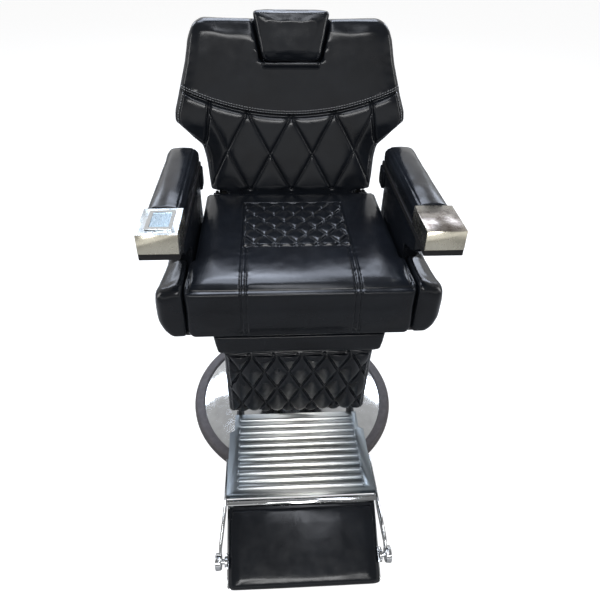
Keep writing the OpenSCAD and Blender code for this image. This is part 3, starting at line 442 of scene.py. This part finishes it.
leather = leathercloth()
SEAT_FRONT, SEAT_LOW, SEAT_T = -258, 515, 135
SEAT_SLOPE, SEAT_EDGE = 4.9, 26
QUILT_W, QUILT_FRONT, QUILT_REAR = 254, -82, 150
QUILT_A, QUILT_B, QUILT_SHIFT = 25.4, 36.3, 31.8
TWIN_INNER, TWIN_OUTER = 118, 129


def seat_top(y):
    """The height of the seat's top, which falls to the rear."""
    fall = (y - SEAT_FRONT) * math.tan(math.radians(SEAT_SLOPE))
    return SEAT_LOW + SEAT_T - fall - edge_drop(y - SEAT_FRONT, SEAT_EDGE)


def seat_plain(points, normals):
    """Levels the sewn square to the foam around it, with a soft crown."""
    x, y, z = points.T
    inside = (np.abs(x) < QUILT_W / 2 + 9) & (y > QUILT_FRONT - 12) & (y < QUILT_REAR + 13)
    inside &= normals[:, 2] > 0.2
    out = points.copy()
    out[inside, 2] = seat_top(y[inside])
    return out


def in_quilt(x, y):
    """The distance inside the border of the quilted square."""
    return np.minimum(QUILT_W / 2 - np.abs(x), np.minimum(y - QUILT_FRONT, QUILT_REAR - y))


def twin_seams(x):
    """Distance to the nearest of the two seams on each side of the front."""
    return np.minimum(np.abs(np.abs(x) - TWIN_INNER), np.abs(np.abs(x) - TWIN_OUTER))


def seat_sewing(points, normals):
    """The quilted square with its border, the twin seams with their puckers, and the crown of the foam."""
    x, y, z = points.T
    up = step(normals[:, 2] - 0.3, 0.3)
    pad = diamonds(x + QUILT_W / 2, y + QUILT_SHIFT, QUILT_A, QUILT_B, 4.2)[0]
    inside = in_quilt(x, y)
    quilt = step(inside, 4) * (7.5 * (1 - pad) - 3.5)
    border = groove(inside + 1, 2.6) * 3.5
    front = step(QUILT_FRONT - y, 6) * (z > SEAT_LOW + 6)
    wave = np.sin((y + z) / 5.0 + np.sin((y - z) / 17.0) * 2)
    pucker = groove(np.abs(x) - (TWIN_INNER + TWIN_OUTER) / 2, 16) * wave * 0.3
    crown = 10 * np.clip((-120 - y) / 138, 0, 1) ** 2 + 5 * np.clip((np.abs(x) - 170) / 80, 0, 1) ** 2
    return up * (quilt + border + crown) + front * (groove(twin_seams(x), 2.0) * 3.2 + pucker)


def near_seat_seams(points, normals):
    """Picks the vertices of the quilted square and along the twin seams."""
    x, y, z = points.T
    quilt = (in_quilt(x, y) > -8) & (normals[:, 2] > 0.3)
    return quilt | ((twin_seams(x) < 7) & (y < QUILT_FRONT + 8) & (normals[:, 2] > -0.5))


seat = upholstered("seat_cushion", "seat_cushion_cover", voxel=0.006, inset=-0.4, plain=seat_plain,
                   held=lambda p, n: (p[:, 2] < SEAT_LOW + 30) | (n[:, 2] < -0.5), cap=3.0)
refined(seat, near_seat_seams)
sewn(seat, seat_sewing, wobble=0.5, size=70, seed=1)
cushion_done(seat, "seat", 0.7, "seat_cushion")

# ---------- seat bolsters ----------
# Separate foam rolls beside the cushion, in the same leathercloth. They are screwed to the seat
# board from below, and their inner sides press on the cushion.


def as_is(points, normals):
    """Leaves the points where they are."""
    return points


def unsewn(points, normals):
    """No depth anywhere."""
    return 0 * points[:, 0]


for side, other in (("right", -1), ("left", 1)):
    roll = upholstered("bolster_" + side, "seat_bolster_" + side, voxel=0.005, inset=-0.4, plain=as_is,
                       held=lambda p, n: (p[:, 2] < SEAT_LOW + 5) | (np.abs(p[:, 0]) < 252), cap=3.5)
    sewn(roll, unsewn, wobble=0.7, size=45, seed=3 + other)
    cushion_done(roll, "seat", 0.7, "bolster_" + side)

# ---------- seat skirt ----------
# A thinly padded board below the front edge that hides the seat frame. It is screwed to the
# frame's front rail.
skirt = upholstered("seat_skirt", "seat_skirt_cover", voxel=0.004, inset=0.4, plain=as_is,
                    held=lambda p, n: p[:, 1] > 30, pressure=2.0, cap=1.2, smooth=2)
sewn(skirt, unsewn, wobble=0.5, size=40, seed=6)
cushion_done(skirt, "seat", 0.4, "seat_skirt")

# ---------- arm sides ----------
# A thin upholstered panel closes the side between seat and arm, screwed to both. A padded block
# wraps the arm's rear bracket.
for side in ("right", "left"):
    panel = upholstered("arm_panel_" + side, "arm_side_" + side, voxel=0.004, inset=1.0, plain=as_is,
                        held=lambda p, n: p[:, 2] < SEAT_LOW + 5, pressure=3.0, cap=2.0)
    sewn(panel, unsewn, wobble=0.6, size=50, seed=8)
    cushion_done(panel, "seat", 0.5, "arm_panel_" + side)
    block = upholstered("arm_block_" + side, "arm_bracket_wrap_" + side, voxel=0.003, inset=0.4, plain=as_is,
                        held=lambda p, n: n[:, 2] > 0.9, pressure=2.0, cap=0.8)
    cushion_done(block, "seat", 0.4, "arm_block_" + side)

# ---------- arm pads ----------
# Foam on a black painted board, wrapped in leathercloth and seamed along its inner edge. The board
# is screwed to the cap in front and to the bracket behind.
ARM_X, ARM_FRONT, ARM_TOP, ARM_TURN = 279, -267, 790, -3.6
ARM_HALF, ARM_SEAM, ARM_SEAM_FRONT = 40, 27, 118
coat(board_paint, "arm_board_right", "arm_board_left")


def arm_local(points, side):
    """Points in the arm's own place: X from its middle, Y from its nose, Z from its top."""
    return turned(points - np.array([side * ARM_X, ARM_FRONT, ARM_TOP]), -ARM_TURN)


def arm_sewing(points, normals, side):
    """A seam along the inner edge behind the cap, and a crown across the pad."""
    x, y, z = arm_local(points, side).T
    seam = np.abs(np.minimum(0, y - ARM_SEAM_FRONT)) + np.abs(-side * x - ARM_SEAM)
    top = step(normals[:, 2] - 0.2, 0.3)
    return top * (groove(seam, 2.2) * 1.6 + 5.0 * (np.abs(x) / ARM_HALF) ** 3 - 1.5)


for name, side in (("right", -1), ("left", 1)):
    arm = upholstered("arm_pad_" + name, "arm_pad_cover_" + name, voxel=0.0045, inset=1.6, plain=as_is,
                      held=lambda p, n, s=side: ((n[:, 2] < -0.6)
                                                 | (arm_local(p, s)[:, 1] < ARM_SEAM_FRONT - 2)),
                      pressure=4.0, cap=2.5)
    sewn(arm, lambda p, n, s=side: arm_sewing(p, n, s), wobble=0.7, size=50, seed=12 + side)
    cushion_done(arm, "seat", 0.7, "arm_pad_" + name)

# ---------- arm caps, ashtray and brackets ----------
# Nickelled pressings over the noses of the arms. The right one has an ashtray dropped into it,
# with a hinged lid. Bent chromed straps carry the rear ends.


def satin_nickel(name, side_hex, top_reflection_hex, top_reflection_mottle_hex, mottle_mm):
    """Nickel-plated pressed steel: satin front and sides, and a top painted in other colours as a painted
    reflection of the sky and room above, clouded by noise.
    """
    material, tree, shader, place = new_material(name)
    shader.inputs["Metallic"].default_value = 1.0
    facing = add(tree, "ShaderNodeTexCoord").outputs["Normal"]
    rise = add(tree, "ShaderNodeSeparateXYZ", {"Vector": facing}).outputs["Z"]
    # Faces turned up take the top colours: a painted reflection.
    upper = add(tree, "ShaderNodeMapRange", {"Value": rise, "From Min": 0.75, "From Max": 0.95}).outputs[0]
    cloud = tint(tree, noise_value(tree, place, mottle_mm, 0.0, 1.0, 6.0), top_reflection_hex, top_reflection_mottle_hex)
    mixed = add(tree, "ShaderNodeMix", {0: upper, 6: colour(side_hex), 7: cloud}, data_type="RGBA").outputs[2]
    tree.links.new(mixed, shader.inputs["Base Color"])
    roughened(tree, shader, place, 16, 0.22, 0.3, 4.0)
    return material


# Painted reflections on the tops: bluish white on the right cap, mottled brown on the left cap.
cap_right_nickel = satin_nickel("satin_nickel", "#d8d3c2", "#e6ecf0", "#b9c4cc", 20)
cap_left_nickel = satin_nickel("satin_nickel_painted_brown_top", "#d8d3c2", "#a59e97", "#5d534b", 16)
eased("arm_cap_right", "arm_nose_cap_right", "seat", cap_right_nickel, 0.0012)
eased("arm_cap_left", "arm_nose_cap_left", "seat", cap_left_nickel, 0.0012)
eased("ashtray_cup", "ashtray_bowl", "seat", chrome, 0.0009)
eased("arm_bracket_right", "arm_strap_right", "seat", chrome, 0.001)
eased("arm_bracket_left", "arm_strap_left", "seat", chrome, 0.001)


def brushed_lid():
    """Stainless steel, brushed along the lid, with a faintly blue cast."""
    material, tree, shader, place = new_material("brushed_stainless")
    shader.inputs["Metallic"].default_value = 1.0
    along = add(tree, "ShaderNodeMapping", {"Vector": place, "Scale": (14.0, 0.6, 1.0)})
    clouded(tree, shader, along.outputs[0], 10, "#8fa2ae", "#aab8c0")
    roughened(tree, shader, along.outputs[0], 8, 0.2, 0.34)
    return material


coat(brushed_lid(), "ashtray_lid")

# ---------- back cushion ----------
# One deep cushion cut like a winged shield, on a board. A curved seam with twin rows of pale
# thread crosses it, and long diamonds are quilted below the seam.
BACK_Y, BACK_Z, BACK_TURN, BACK_H = 239, 605, -14, 442
WINGS = [(-28, 188), (-1.5, 188), (0, 232), (40, 236), (100, 240), (125, 246), (142, 268), (160, 292),
         (176, 312), (188, 318), (206, 318), (283, 294), (335, 279), (392, 268), (418, 258), (430, 248),
         (438, 234), (442, 224)]
PIER, SEAM_MID, SEAM_END, SEAM_HALF = 57.5, 203, 268, 290
BACK_LIP, WAIST, LEDGE = 28, 112, 330


def back_local(points):
    """Points in the back's own place: Y into the cushion and Z up from its foot."""
    return turned(points - np.array([0, BACK_Y, BACK_Z]), -BACK_TURN)


def back_world(points):
    """Points of the back's own place, put back in the frame."""
    return turned(points, BACK_TURN) + np.array([0, BACK_Y, BACK_Z])


def wing(z):
    """Half the cushion's width at a height."""
    return np.interp(z, [p[0] for p in WINGS], [p[1] for p in WINGS])


def seam_height(x):
    """The height of the curved seam."""
    return SEAM_MID + (SEAM_END - SEAM_MID) * (np.abs(x) / SEAM_HALF) ** 2


def back_plain(points, normals):
    """Levels the quilted half to the crown of the foam."""
    local, facing = back_local(points), turned(normals, -BACK_TURN)
    x, y, z = local.T
    side = wing(z) - np.abs(x)
    level = edge_drop(side, 20) + edge_drop(BACK_H - z, 22) + edge_drop(z + BACK_LIP, 10) - 3
    inside = (facing[:, 1] < -0.35) & (z < seam_height(x) + 16) & (side > 12) & (z > 6)
    local[inside, 1] = level[inside]
    return back_world(local)


def pillar(z):
    """Where the quilting ends beside the plain wing."""
    return np.interp(z, [0, 118, 150, 240], [400, 238, 226, 214])


def border_gap(x, z):
    """Distance to the sewn border inside the edge of the wing, from the curved seam to the waist."""
    return np.where(z > 178, wing(z) - 23 - np.abs(x), (wing(z) - np.abs(x)) * 0.78 - 17)


def back_sewing(points, normals):
    """The quilted piers, the plain wings with their borders, the curved seam with its puckered lower
    lip, the welt along the top and the ledge under the headrest."""
    local, facing = back_local(points), turned(normals, -BACK_TURN)
    x, y, z = local.T
    side = wing(z) - np.abs(x)
    above = seam_height(x)
    pad, seam = diamonds(x / PIER * 100, z / above * 200, 100, 100, 6.0)
    front = step(-facing[:, 1] - 0.2, 0.3)
    below = step(above - z, 4)
    quilted = below * step(pillar(z) - np.abs(x), 5) * step(side - 12, 5) * step(z - 2, 6)
    quilt = quilted * (4.0 * (1 - pad) + 1.5 * groove(seam, 2.2) - 1.0)
    wing_panel = below * step(np.abs(x) - pillar(z), 5) * step(border_gap(x, z), 6)
    fold = below * groove(np.abs(x) - pillar(z), 4.5) * 6.0 * (z > WAIST)
    curved = groove((z - above) / 1.05, 4.0) * 6.5 * step(side, 20)
    lower_lip = below * (2.5 - 9 * np.exp(-np.clip(above - z, 0, None) / 8)) * step(side - 20, 8)
    edge = groove(border_gap(x, z), 2.4) * 3.2 * (z < above + 4) * (z > WAIST) * (np.abs(x) > pillar(z) - 4)
    head_lip = 5.5 * groove(z - LEDGE, 7) * step(76 - np.abs(x), 8)
    top_welt = groove(BACK_H - z - 8, 2.2) * 1.6 * (side > 10)
    wave = np.sin(x / 4.4 + 2 * np.sin(x / 31.0))
    pucker = groove(z - above - 9, 9) * wave * 0.35
    down = quilt + curved + edge + pucker + fold + top_welt
    return front * (down - lower_lip - 3.0 * wing_panel - head_lip)


def near_back_seams(points, normals):
    """Picks the vertices along the seams, on the wings and at the top welt."""
    local, facing = back_local(points), turned(normals, -BACK_TURN)
    x, y, z = local.T
    seam = diamonds(x / PIER * 100, z / seam_height(x) * 200, 100, 100, 12.0)[1]
    lower = (z < seam_height(x) + 22) & ((seam < 12) | (z > seam_height(x) - 14))
    lower |= (z < seam_height(x) + 22) & (np.abs(x) > 200)
    return (facing[:, 1] < -0.2) & (lower | (z > BACK_H - 22))


back = upholstered("back_cushion", "back_cushion_cover", voxel=0.006, inset=2.6, plain=back_plain,
                   held=lambda p, n: back_local(p)[:, 1] > 50, cap=5.0)
refined(back, near_back_seams)
sewn(back, back_sewing, wobble=0.7, size=75, seed=20)
cushion_done(back, "backrest", 0.7, "back_cushion")

# ---------- rear panel of the back ----------
# Leathercloth over thin foam on a board of its own. It covers the back of the backrest and is
# tacked round its edge.
rear = upholstered("back_cover", "back_rear_panel", voxel=0.006, inset=0.6, plain=as_is,
                   held=lambda p, n: back_local(p)[:, 1] < 77, pressure=2.0, cap=2.0)
sewn(rear, unsewn, wobble=0.7, size=80, seed=24)
cushion_done(rear, "backrest", 0.4, "back_cover")

# ---------- headrest ----------
# A small tapered pad of foam in leathercloth. It is screwed to a carrier with two chromed posts,
# which slide in guides behind the back.


def head_plain(points, normals):
    """Draws the lower end down towards the ledge of the back."""
    local = back_local(points)
    local[:, 2] -= 10 * step(372 - local[:, 2], 30)
    return back_world(local)


head = upholstered("headrest_pad", "headrest_cover", voxel=0.003, inset=0.3, plain=head_plain,
                   held=lambda p, n: back_local(p)[:, 1] > 22, pressure=4.0, cap=2.4)
sewn(head, unsewn, wobble=0.6, size=40, seed=26)
cushion_done(head, "headrest", 0.8, "headrest_pad")
eased("headrest_posts", "headrest_carrier", "headrest", chrome, 0.0006)

# ---------- pale thread ----------
# Bonded nylon thread, sewn in even stitches of four to five millimetres along the seams that show:
# twin rows over the curved seam, single rows round the wings and along the top edges.


def thread_material():
    """Bonded nylon thread: pale grey, twisted and slightly glossy."""
    material, tree, shader, place = new_material("pale_nylon_thread")
    clouded(tree, shader, place, 1.5, "#8b8d90", "#b3b5b8")
    shader.inputs["Roughness"].default_value = 0.45
    return material


def one_stitch():
    """One stitch along X, a little pillow of thread with sunk ends."""
    bpy.ops.object.select_all(action="DESELECT")
    bpy.ops.mesh.primitive_cylinder_add(vertices=6, radius=0.5, depth=1.0, rotation=(0, math.pi / 2, 0))
    obj = bpy.context.object
    bpy.ops.object.transform_apply()
    bpy.ops.object.mode_set(mode="EDIT")
    bpy.ops.mesh.select_all(action="SELECT")
    bpy.ops.mesh.bevel(offset=0.12, segments=1)
    bpy.ops.object.mode_set(mode="OBJECT")
    return obj


stitch_seed = one_stitch()
stitch_points = np.array([v.co for v in stitch_seed.data.vertices])
stitch_faces = [list(p.vertices) for p in stitch_seed.data.polygons]
bpy.data.objects.remove(stitch_seed)
thread = thread_material()


def surface_of(obj):
    """The object's surface, to drop stitches on."""
    corners = [v.co.copy() for v in obj.data.vertices]
    return BVHTree.FromPolygons(corners, [tuple(p.vertices) for p in obj.data.polygons])


def stitch_row(name, tree, path, looking, body, length=0.0048, gap=0.0022, width=0.0013):
    """Stitches along a path in millimetres, dropped on the surface in the direction of looking."""
    path = [Vector(p) / 1000 for p in path]
    looking = Vector(looking)
    points, faces, travelled, due = [], [], 0.0, 0.0
    for a, b in zip(path, path[1:]):
        reach = (b - a).length
        while due < travelled + reach:
            middle = a + (b - a) * ((due - travelled) / reach)
            spot, normal, face, far = tree.ray_cast(middle - looking * 0.06, looking, 0.12)
            if spot is not None:
                along = (b - a).normalized()
                along = (along - normal * along.dot(normal)).normalized()
                across = normal.cross(along)
                turn = Matrix((along, across, normal)).transposed()
                start = len(points)
                for p in stitch_points:
                    shaped = Vector((p[0] * length, p[1] * width, p[2] * width * 0.8))
                    points.append(spot + turn @ shaped + normal * width * 0.15)
                faces += [[start + i for i in f] for f in stitch_faces]
            due += length + gap
        travelled += reach
    mesh = bpy.data.meshes.new(name)
    mesh.from_pydata(points, [], faces)
    obj = bpy.data.objects.new(name, mesh)
    bpy.context.scene.collection.objects.link(obj)
    only(obj)
    bpy.ops.object.shade_smooth()
    mesh.materials.append(thread)
    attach(obj, body)
    return obj


back_surface = surface_of(back)
inward = back_world(np.array([[0.0, 1.0, 0.0]]))[0] - back_world(np.zeros((1, 3)))[0]
for row, rise in (("lower", 6.5), ("upper", 12.5)):
    xs = np.linspace(-289, 289, 200)
    curve = back_world(np.stack([xs, np.zeros(200), seam_height(xs) + rise], axis=1))
    stitch_row("back_seam_thread_" + row, back_surface, curve, inward, "backrest")
for name, side in (("right", -1), ("left", 1)):
    zs = np.linspace(256, 180, 40)
    down = [(side * (wing(z) - 20), 0, z) for z in zs]
    slope = [(side * (wing(z) - 17), 0, z - 4) for z in np.linspace(176, 128, 30)]
    stitch_row("wing_thread_" + name, back_surface, back_world(np.array(down + slope)), inward, "backrest")
    edge = np.array([(side * x, 0, BACK_H - 8) for x in np.linspace(112, 214, 40)])
    stitch_row("back_top_thread_" + name, back_surface, back_world(edge), inward, "backrest", 0.004, 0.0025)
rim = back_world(np.array([(x, -30, 446) for x in np.linspace(-78, 78, 60)]))
stitch_row("headrest_thread", surface_of(head), rim, inward, "headrest", 0.004, 0.0025)

# ---------- calf pad ----------
# A thick pad on a plywood board, quilted all over in diamonds. It hangs below the seat, screwed to
# the leg rest's frame.
LEG_Y, LEG_Z, LEG_TURN, CALF_W, CALF_H = -232, 437, 4.4, 366, 248
CALF_A, CALF_B = 30, 62.5


def leg_local(points):
    """Points in the leg rest's own place: Y into the pad and Z up from its top edge."""
    return turned(points - np.array([0, LEG_Y, LEG_Z]), -LEG_TURN)


def leg_world(points):
    """Points of the leg rest's own place, put back in the frame."""
    return turned(points, LEG_TURN) + np.array([0, LEG_Y, LEG_Z])


def calf_plain(points, normals):
    """Levels the pad's face to the crown of the foam."""
    local, facing = leg_local(points), turned(normals, -LEG_TURN)
    x, y, z = local.T
    inside = (facing[:, 1] < -0.35) & (np.abs(x) < CALF_W / 2 - 8) & (z < -5) & (z > -CALF_H + 8)
    level = edge_drop(CALF_W / 2 - np.abs(x), 14) + edge_drop(-z, 8) + edge_drop(z + CALF_H, 14) - 4
    local[inside, 1] = level[inside]
    return leg_world(local)


def calf_sewing(points, normals):
    """Puffed diamonds between deep seams, and a sewn border."""
    local, facing = leg_local(points), turned(normals, -LEG_TURN)
    x, y, z = local.T
    pad, seam = diamonds(x - 7, z + 11, CALF_A, CALF_B, 8.0)
    front = step(-facing[:, 1] - 0.2, 0.3)
    inside = step(CALF_W / 2 - 12 - np.abs(x), 5) * step(-z - 10, 4) * step(z + CALF_H - 8, 4)
    edge = groove(CALF_W / 2 - 13 - np.abs(x), 2.5) * 2.0 + groove(-z - 11, 2.4) * 3.0
    return front * (inside * (11.0 * (1 - pad) + 2.0 * groove(seam, 2.2) - 4.5) + edge)


def near_calf_seams(points, normals):
    """Picks the pad's face."""
    return turned(normals, -LEG_TURN)[:, 1] < -0.2


calf = upholstered("calf_pad", "calf_pad_cover", voxel=0.0045, inset=2.2, plain=calf_plain,
                   held=lambda p, n: leg_local(p)[:, 1] > 22, cap=4.0)
refined(calf, near_calf_seams)
sewn(calf, calf_sewing, wobble=0.4, size=50, seed=30)
cushion_done(calf, "legrest", 0.7, "calf_pad")
forward = leg_world(np.array([[0.0, 1.0, 0.0]]))[0] - leg_world(np.zeros((1, 3)))[0]
calf_edge = leg_world(np.array([(x, 0, -5.5) for x in np.linspace(-176, 176, 90)]))
stitch_row("calf_pad_thread", surface_of(calf), calf_edge, forward, "legrest", 0.004, 0.0025)

# ---------- foot plate and side arms ----------
# A chromed pressing with rolled ribs to stand on, and two bowed arms that carry the footrest
# on round-headed pins.


def rubbed_chrome():
    """Chrome painted bright in the middle and dark blue-grey towards the sides, a painted highlight and
    painted reflection, with fine scratches across the ribs.
    """
    material, tree, shader, place = new_material("rubbed_chrome")
    shader.inputs["Metallic"].default_value = 1.0
    sideways = add(tree, "ShaderNodeSeparateXYZ", {"Vector": place}).outputs["X"]
    sideways = add(tree, "ShaderNodeMath", {0: sideways}, operation="ABSOLUTE").outputs[0]
    # Painted highlight in the middle of the plate, painted shade from dark reflections towards its sides.
    painted_margin_shade = add(tree, "ShaderNodeMapRange", {"Value": sideways, "From Min": 0.04, "From Max": 0.15}).outputs[0]
    tree.links.new(tint(tree, painted_margin_shade, "#f4f3ee", "#8d959b"), shader.inputs["Base Color"])
    across = add(tree, "ShaderNodeMapping", {"Vector": place, "Scale": (1.0, 12.0, 12.0)})
    roughened(tree, shader, across.outputs[0], 60, 0.3, 0.36, 4.0)
    return material


eased("foot_plate", "foot_plate_pressing", "legrest", rubbed_chrome(), 0.0008, 2, 40)
eased("side_arm_right", "footrest_arm_right", "legrest", chrome, 0.0008)
eased("side_arm_left", "footrest_arm_left", "legrest", chrome, 0.0008)
pin_ends = points_of(eased("flip_pins", "footrest_pins", "legrest", chrome, 0.0015))
knob_out = pin_ends[:, 0].max()
axle = pin_ends[pin_ends[:, 0] > knob_out - 2].mean(axis=0)
KNOB_R, KNOB_T, KNOB_IN = 0.0185, 0.015, 6.5
for name, side in (("right", -1), ("left", 1)):
    bpy.ops.object.select_all(action="DESELECT")
    middle = (side * (knob_out - KNOB_IN) / 1000, axle[1] / 1000, axle[2] / 1000)
    bpy.ops.mesh.primitive_cylinder_add(vertices=44, radius=KNOB_R, depth=KNOB_T, location=middle,
                                        rotation=(0, math.pi / 2, 0))
    knob = bpy.context.object
    knob.name = "footrest_knob_" + name
    bpy.ops.object.transform_apply(location=True, rotation=True, scale=True)
    crown = knob.modifiers.new("crown", "BEVEL")
    crown.width = 0.004
    crown.segments = 4
    crown.limit_method = "ANGLE"
    crown.angle_limit = math.radians(50)
    bpy.ops.object.modifier_apply(modifier="crown")
    bpy.ops.object.shade_smooth_by_angle(angle=math.radians(30))
    knob.data.materials.append(chrome)
    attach(knob, "legrest")

# ---------- fold-over footrest ----------
# A chromed tray with a padded face. It turns on the pins between the side arms and folds up over
# the plate.
eased("flip_tray", "footrest_tray", "footrest", chrome, 0.0008, 2, 40)
FLIP_Y, FLIP_Z, FLIP_TURN = -614, 65, 28.8


def flip_local(points):
    """Points in the footrest's own place: Y to the roller and Z out of the pad."""
    return turned(points - np.array([0, FLIP_Y, FLIP_Z]), -FLIP_TURN)


flap = upholstered("flip_pad", "footrest_cushion", voxel=0.004, inset=0.8, plain=as_is,
                   held=lambda p, n: flip_local(p)[:, 2] < -20, cap=1.2)
flap_rear = flip_local(points_of(flap))[:, 1].max()
flap_side = points_of(flap)[:, 0].max()


def flap_crown(points, normals):
    """The foam falls away softly towards the roller and the sides."""
    x, y, z = flip_local(points).T
    fall_rear = 7 * np.clip(1 - (flap_rear - y) / 42, 0, 1) ** 2
    fall_side = 3 * np.clip(1 - (flap_side - np.abs(x)) / 30, 0, 1) ** 2
    return (fall_rear + fall_side) * step(turned(normals, -FLIP_TURN)[:, 2] - 0.2, 0.3)


sewn(flap, flap_crown, wobble=0.3, size=70, seed=34)
cushion_done(flap, "footrest", 0.7, "flip_pad")

# ---------- recline lever ----------
# A chromed lever with a black moulded grip pushed over its end. It pivots on the frame under the
# left side of the seat.
eased("recline_lever", "recline_lever_bar", "recline_handle", chrome, 0.001)
coat(gland_rubber, "lever_grip")

# ---------- floor, lights and camera ----------
# A pale seamless floor under soft boxes overhead, high in front and behind, and at the sides. The
# camera sees floor and air pure white; mirrors see them dimmer, as a real room would be.


def mirrored_rays(tree):
    """The light path node, and a value of 1 where something mirrors or is seen through."""
    path = add(tree, "ShaderNodeLightPath")
    sum_inputs = {0: path.outputs["Is Glossy Ray"], 1: path.outputs["Is Transmission Ray"]}
    return path, add(tree, "ShaderNodeMath", sum_inputs, operation="ADD", use_clamp=True).outputs[0]


bpy.ops.object.select_all(action="DESELECT")
bpy.ops.mesh.primitive_circle_add(vertices=96, radius=14, fill_type="NGON", location=(0, 0, 0))
floor = bpy.context.object
floor.name = "studio_floor"
FLOOR_SEEN, FLOOR_MIRRORED, AIR_LEAST = 0.84, 0.04, 0.22
floor_paint, floor_tree, floor_shader = new_material("pale_floor")[:3]
floor_shader.inputs["Base Color"].default_value = (0.4, 0.4, 0.4, 1)
floor_shader.inputs["Roughness"].default_value = 0.9
path, mirrored = mirrored_rays(floor_tree)
mirrored = add(floor_tree, "ShaderNodeMath", {0: mirrored, 1: FLOOR_MIRRORED}, operation="MULTIPLY")
seen = add(floor_tree, "ShaderNodeMath", {0: path.outputs["Is Camera Ray"], 1: FLOOR_SEEN},
           operation="MULTIPLY")
lift = add(floor_tree, "ShaderNodeMath", {0: seen.outputs[0], 1: mirrored.outputs[0]}, operation="ADD")
glow = add(floor_tree, "ShaderNodeEmission", {"Color": (1, 1, 1, 1), "Strength": lift.outputs[0]})
both = add(floor_tree, "ShaderNodeAddShader", {0: floor_shader.outputs[0], 1: glow.outputs[0]})
output = next(n for n in floor_tree.nodes if n.type == "OUTPUT_MATERIAL")
floor_tree.links.new(both.outputs[0], output.inputs["Surface"])
floor.data.materials.append(floor_paint)

world = bpy.data.worlds.new("studio")
bpy.context.scene.world = world
world.use_nodes = True
world.node_tree.nodes.clear()
air_tree = world.node_tree
sky = add(air_tree, "ShaderNodeTexCoord")
height = add(air_tree, "ShaderNodeSeparateXYZ", {"Vector": sky.outputs["Generated"]})
front_air = add(air_tree, "ShaderNodeMapRange",
                {"Value": height.outputs["Z"], "From Min": 0.08, "From Max": 0.4,
                 "To Min": 1.0, "To Max": 0.13},
                interpolation_type="SMOOTHSTEP")
rear_air = add(air_tree, "ShaderNodeMapRange",
               {"Value": height.outputs["Z"], "From Min": 0.05, "From Max": 0.95,
                "To Min": 1.0, "To Max": 0.35})
rearward = add(air_tree, "ShaderNodeMapRange",
               {"Value": height.outputs["Y"], "From Min": 0.0, "From Max": 0.35},
               interpolation_type="SMOOTHSTEP")
fade = add(air_tree, "ShaderNodeMix",
           {0: rearward.outputs[0], 2: front_air.outputs[0], 3: rear_air.outputs[0]})
eye, mirror = mirrored_rays(air_tree)
mirror = add(air_tree, "ShaderNodeMath", {0: mirror, 1: fade.outputs[0]}, operation="MULTIPLY")
shown = add(air_tree, "ShaderNodeMath", {0: mirror.outputs[0], 1: eye.outputs["Is Camera Ray"]},
            operation="MAXIMUM")
shown = add(air_tree, "ShaderNodeMath", {0: shown.outputs[0], 1: AIR_LEAST}, operation="MAXIMUM")
air = add(air_tree, "ShaderNodeBackground", {"Color": (1, 1, 1, 1), "Strength": shown.outputs[0]})
add(air_tree, "ShaderNodeOutputWorld", {"Surface": air.outputs[0]})


def soft_box(name, place, target, wide, high, watts, tone="#ffffff"):
    """An area lamp aimed at a point, unseen by the camera."""
    lamp = bpy.data.lights.new(name, "AREA")
    lamp.shape = "RECTANGLE"
    lamp.size, lamp.size_y, lamp.energy = wide, high, watts
    lamp.color = colour(tone)[:3]
    obj = bpy.data.objects.new(name, lamp)
    bpy.context.scene.collection.objects.link(obj)
    obj.location = place
    obj.visible_camera = False
    obj.rotation_euler = (Vector(target) - Vector(place)).to_track_quat("-Z", "Y").to_euler()


soft_box("ceiling_panel", (-0.45, 1.3, 2.85), (0, 0, 0.6), 1.4, 1.2, 46, "#e2ecff")
soft_box("rear_high_box", (0.1, 2.3, 2.75), (0, -0.2, 0.6), 1.6, 1.3, 40, "#e2ecff")
soft_box("ceiling_strip", (0.13, -0.9, 2.9), (0.09, -0.6, 0.2), 0.32, 2.2, 18, "#f2f6ff")
soft_box("front_high_box", (-0.2, -4.0, 3.2), (0, -0.2, 0.4), 2.6, 0.8, 85)
soft_box("rear_panel_right", (-1.35, 1.9, 1.66), (-0.3, 0, 0.8), 0.7, 0.5, 6, "#e6efff")
soft_box("rear_panel_left", (1.6, 1.9, 1.66), (0.3, 0, 0.8), 0.7, 0.5, 8, "#e6efff")
soft_box("side_box_right", (-2.2, 0.0, 1.0), (0, 0, 0.5), 0.5, 1.4, 10)
soft_box("side_box_left", (2.2, 0.0, 1.0), (0, 0, 0.5), 0.5, 1.4, 10)

camera = bpy.data.objects.new("camera", bpy.data.cameras.new("camera"))
bpy.context.scene.collection.objects.link(camera)
CAMERA_PLACE = (-0.0701, -1.1515, 1.3600)
yaw, pitch, roll = math.radians(4.26), math.radians(39.64), math.radians(1.58)
ahead = Vector((math.sin(yaw) * math.cos(pitch), math.cos(yaw) * math.cos(pitch), -math.sin(pitch)))
level = Vector((math.cos(yaw), -math.sin(yaw), 0))
above = level.cross(ahead)
right = level * math.cos(roll) + above * math.sin(roll)
top = above * math.cos(roll) - level * math.sin(roll)
facing = Matrix((right, top, -ahead)).transposed().to_4x4()
camera.matrix_world = Matrix.Translation(CAMERA_PLACE) @ facing
camera.data.lens = 33.01
camera.data.sensor_width = 36
camera.data.clip_start = 0.01
bpy.context.scene.camera = camera
bpy.context.scene.view_settings.view_transform = "Standard"
